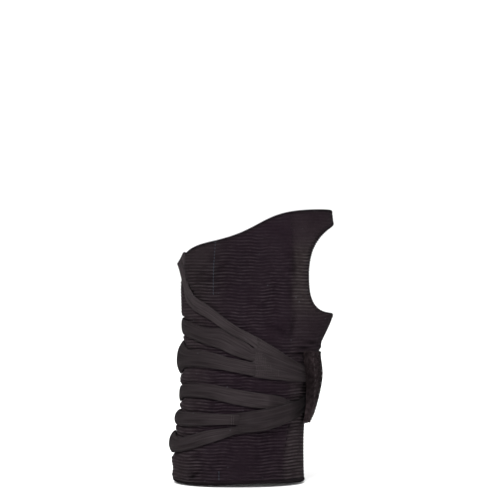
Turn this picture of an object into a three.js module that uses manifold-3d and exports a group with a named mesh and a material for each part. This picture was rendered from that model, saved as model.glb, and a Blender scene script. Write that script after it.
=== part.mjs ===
// Laced wrist support of ribbed elastic for a right hand, in the shape that it takes when worn.
// Millimetres. The origin is the middle of the wrist inside the sleeve. +Z points to the fingers,
// +X to the thumb side and -Y to the palm side.

import * as THREE from "three";
import { mergeVertices } from "three/addons/utils/BufferGeometryUtils.js";
import Module from "manifold-3d";

const wasm = await Module();
wasm.setup();
const { degToRad, radToDeg, lerp } = THREE.MathUtils;

// A place on the sleeve is a girth, a height and a lift. The girth is the angle round the sleeve in
// degrees: 0 on the thumb side, 90 on the palm, 180 on the little finger side and 270 on the back.
// The height is Z, and the lift is how far a point stands out from the sleeve's outer face.

// The sleeve: a knitted wall with a hem that waves a little, and a top edge that swings up to the thumb
// and dips at its corner on the little finger side.
const SLEEVE_WALL = 2.2;
const HEM = { middle: -57, wave: 0.7, lowestGirth: 150 };
const TOP_EDGE = { middle: 80.3, swing: 10.5, peakGirth: 19, cornerDip: 4, cornerSharpness: 24 };
const SLEEVE_MESH = { columns: 56, rows: 24 };

// One row for each section through the sleeve: where its outer face lies on the four sides, and how
// square its oval is, from 2 for an ellipse upwards.
const SLEEVE_SECTIONS = [
  { height: -58.0, little: -39.6, thumb: 32.4, palm: -27.6, back: 26.0, square: 2.2 },
  { height: -54.5, little: -40.8, thumb: 32.0, palm: -27.2, back: 25.7, square: 2.2 },
  { height: -50.0, little: -39.6, thumb: 31.8, palm: -26.8, back: 25.5, square: 2.2 },
  { height: -41.0, little: -39.2, thumb: 31.8, palm: -26.4, back: 25.4, square: 2.25 },
  { height: -27.5, little: -37.6, thumb: 32.2, palm: -25.2, back: 25.0, square: 2.3 },
  { height: -14.0, little: -34.9, thumb: 33.9, palm: -24.4, back: 24.5, square: 2.35 },
  { height: 0.0, little: -34.7, thumb: 36.3, palm: -23.8, back: 24.2, square: 2.4 },
  { height: 11.0, little: -33.7, thumb: 37.8, palm: -23.5, back: 24.0, square: 2.4 },
  { height: 18.0, little: -33.3, thumb: 41.4, palm: -23.4, back: 23.8, square: 2.4 },
  { height: 34.0, little: -34.0, thumb: 48.2, palm: -23.4, back: 23.2, square: 2.4 },
  { height: 52.0, little: -34.4, thumb: 50.2, palm: -22.4, back: 22.4, square: 2.4 },
  { height: 70.0, little: -33.2, thumb: 49.6, palm: -19.8, back: 21.4, square: 2.35 },
  { height: 92.0, little: -31.5, thumb: 47.4, palm: -15.8, back: 19.6, square: 2.3 },
];

// The thumb hole: an oval that is squarer below its middle than above it. Its reach is its half width
// in degrees of girth, and its cutter spans the wall from inside to outside.
const THUMB_HOLE = {
  middle: 53, above: 29.5, below: 19.7, palmReach: 36, backReach: 39, squareAbove: 2, squareBelow: 3,
};
const HOLE_CUTTER = { points: 44, inside: -6, outside: 45, steps: 14 };

// Strips laid on the sleeve. Each table has one row for each place along the strip, in rising girth:
// the heights of its lower and upper edges and the lift of its inner face. A crown is the extra lift of
// the strip's middle, which arches over to the two edges. It is 0 where a row doesn't give it.
const CROWN_POWER = 2.4;
const LACE_THICK = 1;
const LACE_MESH = { columns: 26, bands: 4 };
const LACES = [
  [
    { girth: 90.3, low: 16.9, high: 22.7, lift: 0.4 },
    { girth: 115, low: 22.3, high: 27.8, lift: 0.4 },
    { girth: 130, low: 26.3, high: 32.6, lift: 0.4 },
    { girth: 145, low: 31.7, high: 38.2, lift: 0.4 },
    { girth: 156, low: 35.4, high: 41.2, lift: 0.4 },
    { girth: 164, low: 38.4, high: 44.4, lift: 0.4 },
    { girth: 169, low: 41.6, high: 49.6, lift: 0.4 },
    { girth: 174, low: 46.4, high: 60.0, lift: 0.4, crown: 0.8 },
    { girth: 180, low: 54.0, high: 67.4, lift: 0.4, crown: 2.3 },
    { girth: 198, low: 57.0, high: 65.6, lift: 0.5, crown: 0.8 },
    { girth: 216, low: 57.2, high: 64.2, lift: 0.4 },
  ],
  [
    { girth: 88.1, low: 9.2, high: 16.1, lift: 0.4 },
    { girth: 100, low: 10.5, high: 18.5, lift: 0.4 },
    { girth: 115, low: 12.6, high: 21.7, lift: 0.4 },
    { girth: 130, low: 15.6, high: 24.9, lift: 0.4 },
    { girth: 145, low: 18.1, high: 26.7, lift: 0.4 },
    { girth: 162, low: 21.3, high: 30.0, lift: 0.4 },
    { girth: 180, low: 23.2, high: 31.4, lift: 0.4, crown: 0.3 },
    { girth: 216, low: 24.4, high: 32.0, lift: 0.4 },
  ],
  [
    { girth: 85.7, low: 1.2, high: 8.5, lift: 0.4 },
    { girth: 100, low: 2.4, high: 9.8, lift: 0.4 },
    { girth: 115, low: 3.7, high: 10.9, lift: 0.4 },
    { girth: 130, low: 4.8, high: 13.1, lift: 0.4 },
    { girth: 145, low: 5.6, high: 14.4, lift: 0.4 },
    { girth: 162, low: 5.0, high: 14.8, lift: 0.4, crown: 0.6 },
    { girth: 180, low: 0.6, high: 19.0, lift: 0.5, crown: 2.6 },
    { girth: 200, low: 2.6, high: 14.4, lift: 0.4, crown: 1.0 },
    { girth: 216, low: 4.4, high: 12.0, lift: 0.4 },
  ],
  [
    { girth: 34, low: -17.4, high: -13.6, lift: 0.4 },
    { girth: 42, low: -17.6, high: -11.6, lift: 0.4 },
    { girth: 50, low: -17.2, high: -9.8, lift: 0.4 },
    { girth: 65, low: -16.5, high: -8.6, lift: 0.4 },
    { girth: 80, low: -15.8, high: -7.6, lift: 0.4 },
    { girth: 100, low: -14.4, high: -6.2, lift: 0.4 },
    { girth: 115, low: -13.0, high: -5.0, lift: 0.4 },
    { girth: 130, low: -11.4, high: -3.6, lift: 0.4 },
    { girth: 145, low: -10.8, high: -3.6, lift: 0.4 },
    { girth: 162, low: -11.2, high: -4.1, lift: 0.4 },
    { girth: 180, low: -14.4, high: -6.4, lift: 0.4, crown: 0.3 },
    { girth: 216, low: -15.0, high: -8.0, lift: 0.4 },
  ],
  [
    { girth: 98.3, low: -25.1, high: -19.2, lift: 0.4 },
    { girth: 115, low: -25.2, high: -19.3, lift: 0.4 },
    { girth: 130, low: -25.6, high: -19.1, lift: 0.4 },
    { girth: 145, low: -26.4, high: -19.1, lift: 0.4 },
    { girth: 160, low: -26.9, high: -19.3, lift: 0.4, crown: 0.2 },
    { girth: 180, low: -26.4, high: -19.0, lift: 0.4, crown: 0.9 },
    { girth: 216, low: -26.6, high: -19.8, lift: 0.4 },
  ],
  [
    { girth: 96.3, low: -30.0, high: -26.1, lift: 0.4 },
    { girth: 115, low: -33.3, high: -27.2, lift: 0.4 },
    { girth: 130, low: -36.0, high: -28.6, lift: 0.4 },
    { girth: 145, low: -39.0, high: -31.4, lift: 0.4 },
    { girth: 160, low: -41.0, high: -33.0, lift: 0.5, crown: 0.6 },
    { girth: 180, low: -42.4, high: -30.4, lift: 0.5, crown: 2.0 },
    { girth: 200, low: -41.8, high: -33.0, lift: 0.5, crown: 0.8 },
    { girth: 216, low: -41.6, high: -34.6, lift: 0.4 },
  ],
];

// Laces 1 to 3 run into the upper pull strap and the others into the lower one, which climbs over
// the end of lace 4. Both straps end under the closing tab.
const GATHER_THICK = 1.3;
const GATHER_MESH = { columns: 28, bands: 4 };
const UPPER_GATHER = [
  { girth: -4, low: -3.4, high: 4.6, lift: 0.4 },
  { girth: 14, low: -3.0, high: 5.2, lift: 0.4 },
  { girth: 28, low: -2.5, high: 6.6, lift: 0.4 },
  { girth: 40, low: -1.9, high: 10.2, lift: 0.4 },
  { girth: 55, low: -1.2, high: 15.1, lift: 0.4 },
  { girth: 70, low: -0.5, high: 18.9, lift: 0.4 },
  { girth: 87, low: 0.6, high: 22.8, lift: 0.4 },
];
const LOWER_GATHER = [
  { girth: -4, low: -17.0, high: -9.0, lift: 0.4 },
  { girth: 22, low: -18.8, high: -10.6, lift: 0.5 },
  { girth: 34, low: -22.2, high: -12.6, lift: 1.65 },
  { girth: 48, low: -25.4, high: -14.8, lift: 1.7 },
  { girth: 60, low: -27.5, high: -16.1, lift: 1.7 },
  { girth: 70, low: -28.7, high: -17.0, lift: 1.5 },
  { girth: 85, low: -29.3, high: -18.1, lift: 0.5 },
  { girth: 96.8, low: -29.9, high: -18.7, lift: 0.4 },
];

// The closing tab arches over the ends of the pull straps and lies flat on the back.
const TAB_THICK = 1.5;
const TAB_MESH = { columns: 32, bands: 8 };
const CLOSURE_TAB = [
  { girth: -104, low: -13.0, high: 5.5, lift: 0.4 },
  { girth: -100, low: -18.0, high: 10.5, lift: 0.4 },
  { girth: -90, low: -22.0, high: 13.0, lift: 0.4 },
  { girth: -75, low: -24.0, high: 14.0, lift: 0.4 },
  { girth: -45, low: -25.0, high: 14.0, lift: 0.4, crown: 0.5 },
  { girth: -12, low: -25.4, high: 14.0, lift: 0.6, crown: 3.0 },
  { girth: 8, low: -25.4, high: 14.0, lift: 0.6, crown: 3.2 },
  { girth: 25.8, low: -25.4, high: 15.0, lift: 0.7, crown: 2.8 },
];

// The strip that the laces are sewn to, on the back of the little finger side.
const ANCHOR_THICK = 1;
const ANCHOR_MESH = { columns: 4, bands: 16 };
const LACE_ANCHOR = [
  { girth: 216.8, low: -45, high: 65, lift: 0.4 },
  { girth: 236, low: -45, high: 66, lift: 0.4 },
];

// How far a strip's end leans, in degrees of girth for each millimetre of height, so that it stands
// upright although the sleeve's middle shifts towards the thumb as it rises.
const UPRIGHT_LEAN = 0.33;

const FINISHES = {
  elastic: { color: 0x282428, roughness: 0.95, metalness: 0 },
  lace: { color: 0x383436, roughness: 0.85, metalness: 0 },
  tab: { color: 0x2c292c, roughness: 0.95, metalness: 0 },
};

// The smallest step for a slope along the sleeve, and the distance at which corners are one.
const SLOPE_STEP = 0.05;
const WELD = 1e-4;

// Reads a smooth curve through one column of a table, at a value of its key column.
function readTable(rows, key, at, column) {
  const value = (row) => row[column] ?? 0;
  const last = rows.length - 1;
  const above = rows.findIndex((row) => row[key] >= at);
  const start = above < 0 ? last - 1 : Math.max(above - 1, 0);
  const slope = (index) => {
    const before = rows[Math.max(index - 1, 0)];
    const after = rows[Math.min(index + 1, last)];
    return (value(after) - value(before)) / (after[key] - before[key]);
  };
  const [from, to] = [rows[start], rows[start + 1]];
  const span = to[key] - from[key];
  const share = THREE.MathUtils.clamp((at - from[key]) / span, 0, 1);
  const left = 1 - share;
  const ends = value(from) * left ** 2 * (1 + 2 * share) + value(to) * share ** 2 * (1 + 2 * left);
  const bend = slope(start) * share * left ** 2 - slope(start + 1) * share ** 2 * left;
  return ends + bend * span;
}

// The point of the sleeve's outer face at a girth and a height.
function facePoint(girth, height) {
  const at = (column) => readTable(SLEEVE_SECTIONS, "height", height, column);
  const across = Math.cos(degToRad(girth));
  const palmward = Math.sin(degToRad(girth));
  const halfWidth = (at("thumb") - at("little")) / 2;
  const halfDepth = (at("back") - at("palm")) / 2;
  const square = at("square");
  const oval = Math.abs(across / halfWidth) ** square + Math.abs(palmward / halfDepth) ** square;
  const radius = oval ** (-1 / square);
  return new THREE.Vector3(
    (at("thumb") + at("little")) / 2 + radius * across,
    (at("back") + at("palm")) / 2 - radius * palmward,
    height,
  );
}

// The point at a lift straight out from the sleeve's outer face.
function wornPoint(girth, height, lift) {
  const round = facePoint(girth + SLOPE_STEP, height).sub(facePoint(girth - SLOPE_STEP, height));
  const up = facePoint(girth, height + SLOPE_STEP).sub(facePoint(girth, height - SLOPE_STEP));
  return facePoint(girth, height).addScaledVector(up.cross(round).normalize(), lift);
}

function hemHeight(girth) {
  return HEM.middle - HEM.wave * Math.cos(degToRad(2 * (girth - HEM.lowestGirth)));
}

function topHeight(girth) {
  const { middle, swing, peakGirth, cornerDip, cornerSharpness } = TOP_EDGE;
  const corner = Math.max(0, -Math.cos(degToRad(girth))) ** cornerSharpness;
  return middle + swing * Math.cos(degToRad(girth - peakGirth)) - cornerDip * corner;
}

// Moves each corner of a flat blank to its place on the worn form and welds the corners that meet.
function wrap(blank, place) {
  const corners = blank.getAttribute("position");
  for (let i = 0; i < corners.count; i++) {
    corners.setXYZ(i, ...place(corners.getX(i), corners.getY(i), corners.getZ(i)).toArray());
  }
  blank.deleteAttribute("normal");
  blank.deleteAttribute("uv");
  return mergeVertices(blank, WELD);
}

function toSolid(geometry) {
  const vertProperties = geometry.getAttribute("position").array;
  const triVerts = new Uint32Array(geometry.getIndex().array);
  return new wasm.Manifold(new wasm.Mesh({ numProp: 3, vertProperties, triVerts }));
}

function toGeometry(solid) {
  const { vertProperties, triVerts } = solid.getMesh();
  const geometry = new THREE.BufferGeometry();
  geometry.setAttribute("position", new THREE.BufferAttribute(vertProperties, 3));
  geometry.setIndex(new THREE.BufferAttribute(triVerts, 1));
  return geometry;
}

// A tube of unit height whose radius is 1 inside and 2 outside, wrapped to the sleeve's two faces.
function sleeveTube() {
  const [inside, outside] = [1, 2];
  const wall = [];
  for (let row = 0; row <= SLEEVE_MESH.rows; row++) wall.push(row / SLEEVE_MESH.rows);
  const profile = [
    ...wall.map((share) => new THREE.Vector2(outside, share)),
    ...wall.map((share) => new THREE.Vector2(inside, 1 - share)),
    new THREE.Vector2(outside, 0),
  ];
  return wrap(new THREE.LatheGeometry(profile, SLEEVE_MESH.columns), (x, share, z) => {
    const girth = -radToDeg(Math.atan2(x, z));
    const depth = outside - Math.hypot(x, z);
    return wornPoint(girth, lerp(hemHeight(girth), topHeight(girth), share), -depth * SLEEVE_WALL);
  });
}

// The plug that cuts the thumb hole, drawn flat with the girth to the left and wrapped like the cloth.
function thumbHolePlug() {
  const { middle, above, below, palmReach, backReach, squareAbove, squareBelow } = THUMB_HOLE;
  const outline = new THREE.Shape();
  for (let i = 0; i < HOLE_CUTTER.points; i++) {
    const turn = (2 * Math.PI * i) / HOLE_CUTTER.points;
    const side = Math.cos(turn);
    const rise = Math.sin(turn);
    const power = 2 / (rise > 0 ? squareAbove : squareBelow);
    const x = Math.sign(side) * Math.abs(side) ** power * (side > 0 ? backReach : palmReach);
    const y = middle + Math.sign(rise) * Math.abs(rise) ** power * (rise > 0 ? above : below);
    if (i === 0) outline.moveTo(x, y);
    else outline.lineTo(x, y);
  }
  const depth = HOLE_CUTTER.outside - HOLE_CUTTER.inside;
  const plug = new THREE.ExtrudeGeometry(outline, { depth, steps: HOLE_CUTTER.steps, bevelEnabled: false });
  return wrap(plug, (x, height, z) => wornPoint(-x, height, HOLE_CUTTER.inside + z));
}

function sleeve() {
  return toGeometry(toSolid(sleeveTube()).subtract(toSolid(thumbHolePlug())));
}

// A box bent into a strip: its length runs from the table's last row to its first, its height
// between the two edges and its depth out through the strip's thickness.
function strip(rows, thick, mesh, lean = { first: 0, last: 0 }) {
  const [first, last] = [rows[0].girth, rows.at(-1).girth];
  const box = new THREE.BoxGeometry(1, 1, 1, mesh.columns, mesh.bands, 1).translate(0.5, 0.5, 0.5);
  return wrap(box, (along, up, out) => {
    const girth = lerp(last, first, along);
    const at = (column) => readTable(rows, "girth", girth, column);
    const [low, high] = [at("low"), at("high")];
    const height = lerp(low, high, up);
    const turned = girth + lerp(lean.last, lean.first, along) * (height - (low + high) / 2);
    const crown = at("crown") * (1 - Math.abs(2 * up - 1) ** CROWN_POWER);
    return wornPoint(turned, height, at("lift") + crown + out * thick);
  });
}

function addPiece(group, name, geometry, finish) {
  const mesh = new THREE.Mesh(geometry, new THREE.MeshStandardMaterial(finish));
  mesh.name = name;
  group.add(mesh);
}

function wristSupport() {
  const support = new THREE.Group();
  const upright = { first: UPRIGHT_LEAN, last: UPRIGHT_LEAN };
  addPiece(support, "sleeve", sleeve(), FINISHES.elastic);
  LACES.forEach((rows, index) => {
    const lace = strip(rows, LACE_THICK, LACE_MESH, { first: UPRIGHT_LEAN, last: 0 });
    addPiece(support, `lace_${index + 1}`, lace, FINISHES.lace);
  });
  addPiece(support, "upper_gather", strip(UPPER_GATHER, GATHER_THICK, GATHER_MESH, upright), FINISHES.lace);
  addPiece(support, "lower_gather", strip(LOWER_GATHER, GATHER_THICK, GATHER_MESH, upright), FINISHES.lace);
  const tab = strip(CLOSURE_TAB, TAB_THICK, TAB_MESH, { first: 0, last: UPRIGHT_LEAN });
  addPiece(support, "closure_tab", tab, FINISHES.tab);
  addPiece(support, "lace_anchor", strip(LACE_ANCHOR, ANCHOR_THICK, ANCHOR_MESH), FINISHES.elastic);
  return support;
}

export default wristSupport();
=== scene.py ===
# %% [markdown]
# # A laced wrist support
#
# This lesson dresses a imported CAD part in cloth. The part is a black sleeve of ribbed elastic, cut for
# the right side. Six flat laces fan in from the little finger side, two pull straps gather them, and a
# hook-and-loop tab closes the straps on the thumb side. The CAD solids give the sizes and the places.
# Blender gives the ribs, the rolled edges, the stitches and the weave.

# %% Load the frame
import math

import bpy
import numpy as np
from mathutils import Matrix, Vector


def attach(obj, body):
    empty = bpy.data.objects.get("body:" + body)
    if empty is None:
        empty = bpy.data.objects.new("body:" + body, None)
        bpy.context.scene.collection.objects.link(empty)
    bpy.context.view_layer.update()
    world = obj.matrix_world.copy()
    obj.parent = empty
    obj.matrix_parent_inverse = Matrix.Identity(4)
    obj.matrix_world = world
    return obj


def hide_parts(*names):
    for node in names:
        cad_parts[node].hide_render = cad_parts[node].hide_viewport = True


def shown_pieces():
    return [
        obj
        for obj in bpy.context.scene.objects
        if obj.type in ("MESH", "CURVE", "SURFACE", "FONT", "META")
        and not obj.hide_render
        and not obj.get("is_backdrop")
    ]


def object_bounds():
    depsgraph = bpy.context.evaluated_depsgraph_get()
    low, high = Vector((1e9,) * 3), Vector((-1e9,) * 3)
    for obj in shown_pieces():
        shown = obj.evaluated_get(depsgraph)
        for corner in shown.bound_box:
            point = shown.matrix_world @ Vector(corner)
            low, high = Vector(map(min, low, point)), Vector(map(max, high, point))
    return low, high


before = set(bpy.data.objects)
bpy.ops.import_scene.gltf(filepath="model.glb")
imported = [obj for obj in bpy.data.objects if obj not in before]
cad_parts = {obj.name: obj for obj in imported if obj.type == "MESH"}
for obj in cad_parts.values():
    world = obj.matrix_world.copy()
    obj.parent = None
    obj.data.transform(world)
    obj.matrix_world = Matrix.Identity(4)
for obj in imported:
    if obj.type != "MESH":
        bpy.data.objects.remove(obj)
cad_low, cad_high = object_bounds()
MM = 0.001
print("CAD nodes:", ", ".join(sorted(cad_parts)))
print("CAD box in mm:", [round(x / MM, 1) for x in (*cad_low, *cad_high)])

# %% [markdown]
# ## Camera
#
# The palm side is seen straight on, from about a metre away. A long lens at that distance flattens the
# form only a little, so the sides of the sleeve still turn away from the viewer. The camera is placed by
# real sizes: how far it stands, and how much of the object's plane the square picture takes in.

# %% Camera
CAMERA_AWAY = 1000 * MM
CAMERA_ACROSS = 2.2 * MM
CAMERA_HEIGHT = 68.75 * MM
VIEW_WIDTH = 275 * MM
SENSOR_WIDTH = 36


def deselect_all():
    bpy.ops.object.select_all(action="DESELECT")


deselect_all()
bpy.ops.object.camera_add(
    location=(CAMERA_ACROSS, -CAMERA_AWAY, CAMERA_HEIGHT),
    rotation=(math.radians(90), 0, 0),
)
camera = bpy.context.object
camera.data.sensor_width = SENSOR_WIDTH
camera.data.lens = SENSOR_WIDTH * CAMERA_AWAY / VIEW_WIDTH
bpy.context.scene.camera = camera
print("lens in mm:", round(camera.data.lens, 1))

# %% [markdown]
# ## Studio
#
# A flat floor would show its far edge behind the object, because the camera is nearly level with it. So
# the floor is a round disc whose rim is extruded upwards in small steps along a quarter circle, as a
# photographer's paper sweep is curved. It has no edge from any side.

# %% Studio floor and light
FLOOR_GAP = 0.6 * MM
FLOOR_RADIUS = 2.0
SWEEP_RADIUS = 0.9
SWEEP_STEPS = 12
FLOOR_SIDES = 96
WALL_HEIGHT = 1.2

floor_height = cad_low.z - FLOOR_GAP
deselect_all()
bpy.ops.mesh.primitive_circle_add(vertices=FLOOR_SIDES, radius=FLOOR_RADIUS, fill_type="NGON")
studio = bpy.context.object
studio.name = "studio_sweep"
bpy.ops.object.mode_set(mode="EDIT")
bpy.ops.transform.translate(value=(0, 0, floor_height))
bpy.ops.mesh.select_mode(type="EDGE")
bpy.ops.mesh.region_to_loop()
reach, rise = FLOOR_RADIUS, 0.0
for step in range(1, SWEEP_STEPS + 1):
    turn = math.radians(90) * step / SWEEP_STEPS
    new_reach = FLOOR_RADIUS + SWEEP_RADIUS * math.sin(turn)
    new_rise = SWEEP_RADIUS * (1 - math.cos(turn))
    bpy.ops.mesh.extrude_edges_move(TRANSFORM_OT_translate={"value": (0, 0, new_rise - rise)})
    grow = new_reach / reach
    bpy.ops.transform.resize(value=(grow, grow, 1), center_override=(0, 0, 0))
    reach, rise = new_reach, new_rise
bpy.ops.mesh.extrude_edges_move(TRANSFORM_OT_translate={"value": (0, 0, WALL_HEIGHT)})
bpy.ops.mesh.select_mode(type="VERT")
bpy.ops.object.mode_set(mode="OBJECT")
bpy.ops.object.shade_smooth_by_angle(angle=math.radians(30))
studio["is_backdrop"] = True

WORLD_STRENGTH = 0.8
LAMPS = [
    # name, place in m, aim in m, size in m, power in W
    ("key", (-0.45, -1.25, 1.35), (0, 0, 0.02), 0.7, 42),
    ("fill", (1.3, -1.0, 0.5), (0, 0, 0.02), 1.2, 5),
    ("back", (0.4, 1.2, 1.3), (0, 0, 0.02), 1.0, 14),
]
world = bpy.data.worlds.new("soft_white")
bpy.context.scene.world = world
world.use_nodes = True
world.node_tree.nodes["Background"].inputs["Color"].default_value = (1, 1, 1, 1)
world.node_tree.nodes["Background"].inputs["Strength"].default_value = WORLD_STRENGTH
bpy.context.scene.view_settings.view_transform = "Standard"
for name, place, aim, size, power in LAMPS:
    deselect_all()
    bpy.ops.object.light_add(type="AREA", location=place)
    lamp = bpy.context.object
    lamp.name = f"{name}_lamp"
    lamp.data.size = size
    lamp.data.energy = power
    away = lamp.location - type(lamp.location)(aim)
    lamp.rotation_euler = away.to_track_quat("Z", "Y").to_euler()
print("studio:", len(studio.data.polygons), "faces and", len(LAMPS), "lamps")

# %% [markdown]
# ## The worn form
#
# Everything on this object lies on one curved surface, the sleeve's outer face. A place on it is a girth,
# a height and a lift. The girth is the angle round the sleeve in degrees: 0 on the thumb side, 90 on the
# palm side, 180 on the little finger side and 270 on the back. The height is Z in millimetres, and the
# lift is how far a point stands out. The sections below are the ones that the CAD solid was made from. A
# curve is read through each column, so the cloth is smooth where the solid has flat facets.

# %% Worn form
LITTLE, THUMB, PALM, BACK, SQUARE = range(1, 6)
SLEEVE_SECTIONS = np.array([
    # height, little finger side, thumb side, palm side, back, squareness of the oval
    (-58.0, -39.6, 32.4, -27.6, 26.0, 2.20),
    (-54.5, -40.8, 32.0, -27.2, 25.7, 2.20),
    (-50.0, -39.6, 31.8, -26.8, 25.5, 2.20),
    (-41.0, -39.2, 31.8, -26.4, 25.4, 2.25),
    (-27.5, -37.6, 32.2, -25.2, 25.0, 2.30),
    (-14.0, -34.9, 33.9, -24.4, 24.5, 2.35),
    (0.0, -34.7, 36.3, -23.8, 24.2, 2.40),
    (11.0, -33.7, 37.8, -23.5, 24.0, 2.40),
    (18.0, -33.3, 41.4, -23.4, 23.8, 2.40),
    (34.0, -34.0, 48.2, -23.4, 23.2, 2.40),
    (52.0, -34.4, 50.2, -22.4, 22.4, 2.40),
    (70.0, -33.2, 49.6, -19.8, 21.4, 2.35),
    (92.0, -31.5, 47.4, -15.8, 19.6, 2.30),
])
SLOPE_STEP = 0.05


def read_curve(rows, column, at):
    """A smooth curve through one column of a table, read at values of its first column."""
    key = rows[:, 0]
    value = rows[:, column]
    index = np.arange(len(key))
    before = np.maximum(index - 1, 0)
    after = np.minimum(index + 1, len(key) - 1)
    slope = (value[after] - value[before]) / (key[after] - key[before])
    start = np.clip(np.searchsorted(key, at) - 1, 0, len(key) - 2)
    span = key[start + 1] - key[start]
    share = np.clip((at - key[start]) / span, 0, 1)
    left = 1 - share
    ends = value[start] * left**2 * (1 + 2 * share) + value[start + 1] * share**2 * (1 + 2 * left)
    bend = slope[start] * share * left**2 - slope[start + 1] * share**2 * left
    return ends + bend * span


def face_point(girth, height):
    """Points of the sleeve's outer face, in millimetres."""
    little, thumb, palm, back, square = (
        read_curve(SLEEVE_SECTIONS, column, height) for column in (LITTLE, THUMB, PALM, BACK, SQUARE)
    )
    across = np.cos(np.radians(girth))
    palmward = np.sin(np.radians(girth))
    half_width = (thumb - little) / 2
    half_depth = (back - palm) / 2
    oval = np.abs(across / half_width) ** square + np.abs(palmward / half_depth) ** square
    radius = oval ** (-1 / square)
    x = (thumb + little) / 2 + radius * across
    y = (back + palm) / 2 - radius * palmward
    return np.stack([x, y, np.broadcast_to(height, x.shape)], axis=-1)


def unit(vectors):
    return vectors / np.linalg.norm(vectors, axis=-1, keepdims=True)


def worn_point(girth, height, lift):
    """Points at a lift straight out from the sleeve's outer face, in millimetres."""
    girth, height, lift = np.broadcast_arrays(
        np.asarray(girth, float), np.asarray(height, float), np.asarray(lift, float)
    )
    around = face_point(girth + SLOPE_STEP, height) - face_point(girth - SLOPE_STEP, height)
    up = face_point(girth, height + SLOPE_STEP) - face_point(girth, height - SLOPE_STEP)
    return face_point(girth, height) + unit(np.cross(up, around)) * lift[..., None]


def path_length(points):
    return float(np.linalg.norm(np.diff(points, axis=0), axis=1).sum())


all_round = np.linspace(0, 360, 361)
sleeve_girth = path_length(worn_point(all_round, 0, 0))
print("girth at height 0 in mm:", round(sleeve_girth, 1))

# %% [markdown]
# ## Where the strips lie
#
# The laces, pull straps and tab are strips of tape laid on the worn form. Each has a small table, one row
# for each place along it: the girth, the heights of its two edges, the lift of its inner face and, where
# it arches, the crown, which is the extra lift of its middle. The rows follow the CAD solids, but for
# lace 1, which runs on under its strap, lies further over lace 2 and spreads a little more round the
# side.

# %% Strip tables
GIRTH, LOW, HIGH, LIFT, CROWN = range(5)
LACES = {
    "lace_1": [
        (81, 14.4, 20.2, 0.4), (90.3, 16.9, 22.6, 0.5), (100, 19.2, 24.6, 0.8), (115, 22.3, 27.8, 1.1),
        (130, 26.3, 32.6, 1.0), (145, 31.7, 39, 0.4), (156, 35.4, 43.4, 0.4), (164, 38.2, 48.6, 0.4),
        (169, 41.2, 54, 0.4), (174, 46.2, 61.8, 0.4, 0.8), (180, 54, 67.4, 0.4, 2.3),
        (198, 57, 65.6, 0.5, 0.8), (216, 57.2, 64.2, 0.4),
    ],
    "lace_2": [
        (88.1, 9.2, 16.1, 0.4), (100, 10.5, 19.6, 0.2), (115, 12.6, 23.4, 0.1), (130, 15.6, 26.8, 0.2),
        (145, 18.1, 26.9, 0.4), (162, 21.3, 30, 0.4), (180, 23.2, 31.4, 0.4, 0.3), (216, 24.4, 32, 0.4),
    ],
    "lace_3": [
        (85.7, 1.2, 8.5, 0.4), (100, 2.4, 9.8, 0.4), (115, 3.7, 10.9, 0.4), (130, 4.8, 13.1, 0.4),
        (145, 5.6, 14.4, 0.4), (162, 5, 14.8, 0.4, 0.6), (180, 0.6, 19, 0.5, 2.6),
        (200, 2.6, 14.4, 0.4, 1.0), (216, 4.4, 12, 0.4),
    ],
    "lace_4": [
        (34, -17.4, -13.6, 0.4), (42, -17.6, -11.6, 0.4), (50, -17.2, -9.8, 0.4), (65, -16.5, -8.6, 0.4),
        (80, -15.8, -7.6, 0.4), (100, -14.4, -6.2, 0.4), (115, -13, -5, 0.4), (130, -11.4, -3.6, 0.4),
        (145, -10.8, -3.6, 0.4), (162, -11.2, -4.1, 0.4), (180, -14.4, -6.4, 0.4, 0.3),
        (216, -15, -8, 0.4),
    ],
    "lace_5": [
        (98.3, -25.1, -19.2, 0.4), (115, -25.2, -19.3, 0.4), (130, -25.6, -19.1, 0.4),
        (145, -26.4, -19.1, 0.4), (160, -26.9, -19.3, 0.4, 0.2), (180, -26.4, -19, 0.4, 0.9),
        (216, -26.6, -19.8, 0.4),
    ],
    "lace_6": [
        (96.3, -30, -26.1, 0.4), (115, -33.3, -27.2, 0.4), (130, -36, -28.6, 0.4), (145, -39, -31.4, 0.4),
        (160, -41, -33, 0.5, 0.6), (180, -42.4, -30.4, 0.5, 2.0), (200, -41.8, -33, 0.5, 0.8),
        (216, -41.6, -34.6, 0.4),
    ],
}
PULL_STRAPS = {
    "upper_gather": [
        (-4, -3.4, 4.6, 0.4), (14, -3, 5.2, 0.4), (28, -2.5, 6.6, 0.4), (40, -1.9, 10.2, 0.4),
        (55, -1.2, 15.1, 0.4), (70, -0.5, 18.9, 0.4), (87, 0.6, 22.8, 0.4),
    ],
    "lower_gather": [
        (-4, -17, -9, 0.4), (22, -18.8, -10.6, 0.5), (34, -22.2, -12.6, 1.65), (48, -25.4, -14.8, 1.7),
        (60, -27.5, -16.1, 1.7), (70, -28.7, -17, 1.5), (85, -29.3, -18.1, 0.5), (96.8, -29.9, -18.7, 0.4),
    ],
}
CLOSURE_TAB = [
    (-104, -13, 5.5, 0.4), (-100, -18, 10.5, 0.4), (-90, -22, 13, 0.4), (-75, -24, 14, 0.4),
    (-45, -25, 14, 0.4, 0.5), (-12, -25.4, 14, 0.6, 3.0), (8, -25.4, 14, 0.6, 3.2),
    (25.8, -25.4, 15, 0.7, 2.8),
]
LACE_ANCHOR = [(216.8, -45, 65, 0.4), (236, -45, 66, 0.4)]
NO_CROWN = (0,)
strips = {
    name: np.array([(*row, *NO_CROWN)[:CROWN + 1] for row in rows], float)
    for name, rows in {
        **LACES, **PULL_STRAPS, "closure_tab": CLOSURE_TAB, "lace_anchor": LACE_ANCHOR,
    }.items()
}
print(len(strips), "strips")

# %% [markdown]
# ## Working with a mesh
#
# A few helpers repeat what is done by mouse in the viewport: pick a piece, apply its modifiers, and read
# or move its corners. Cloth is draped by moving all corners at once, so corners are read into an array,
# in millimetres.

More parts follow.
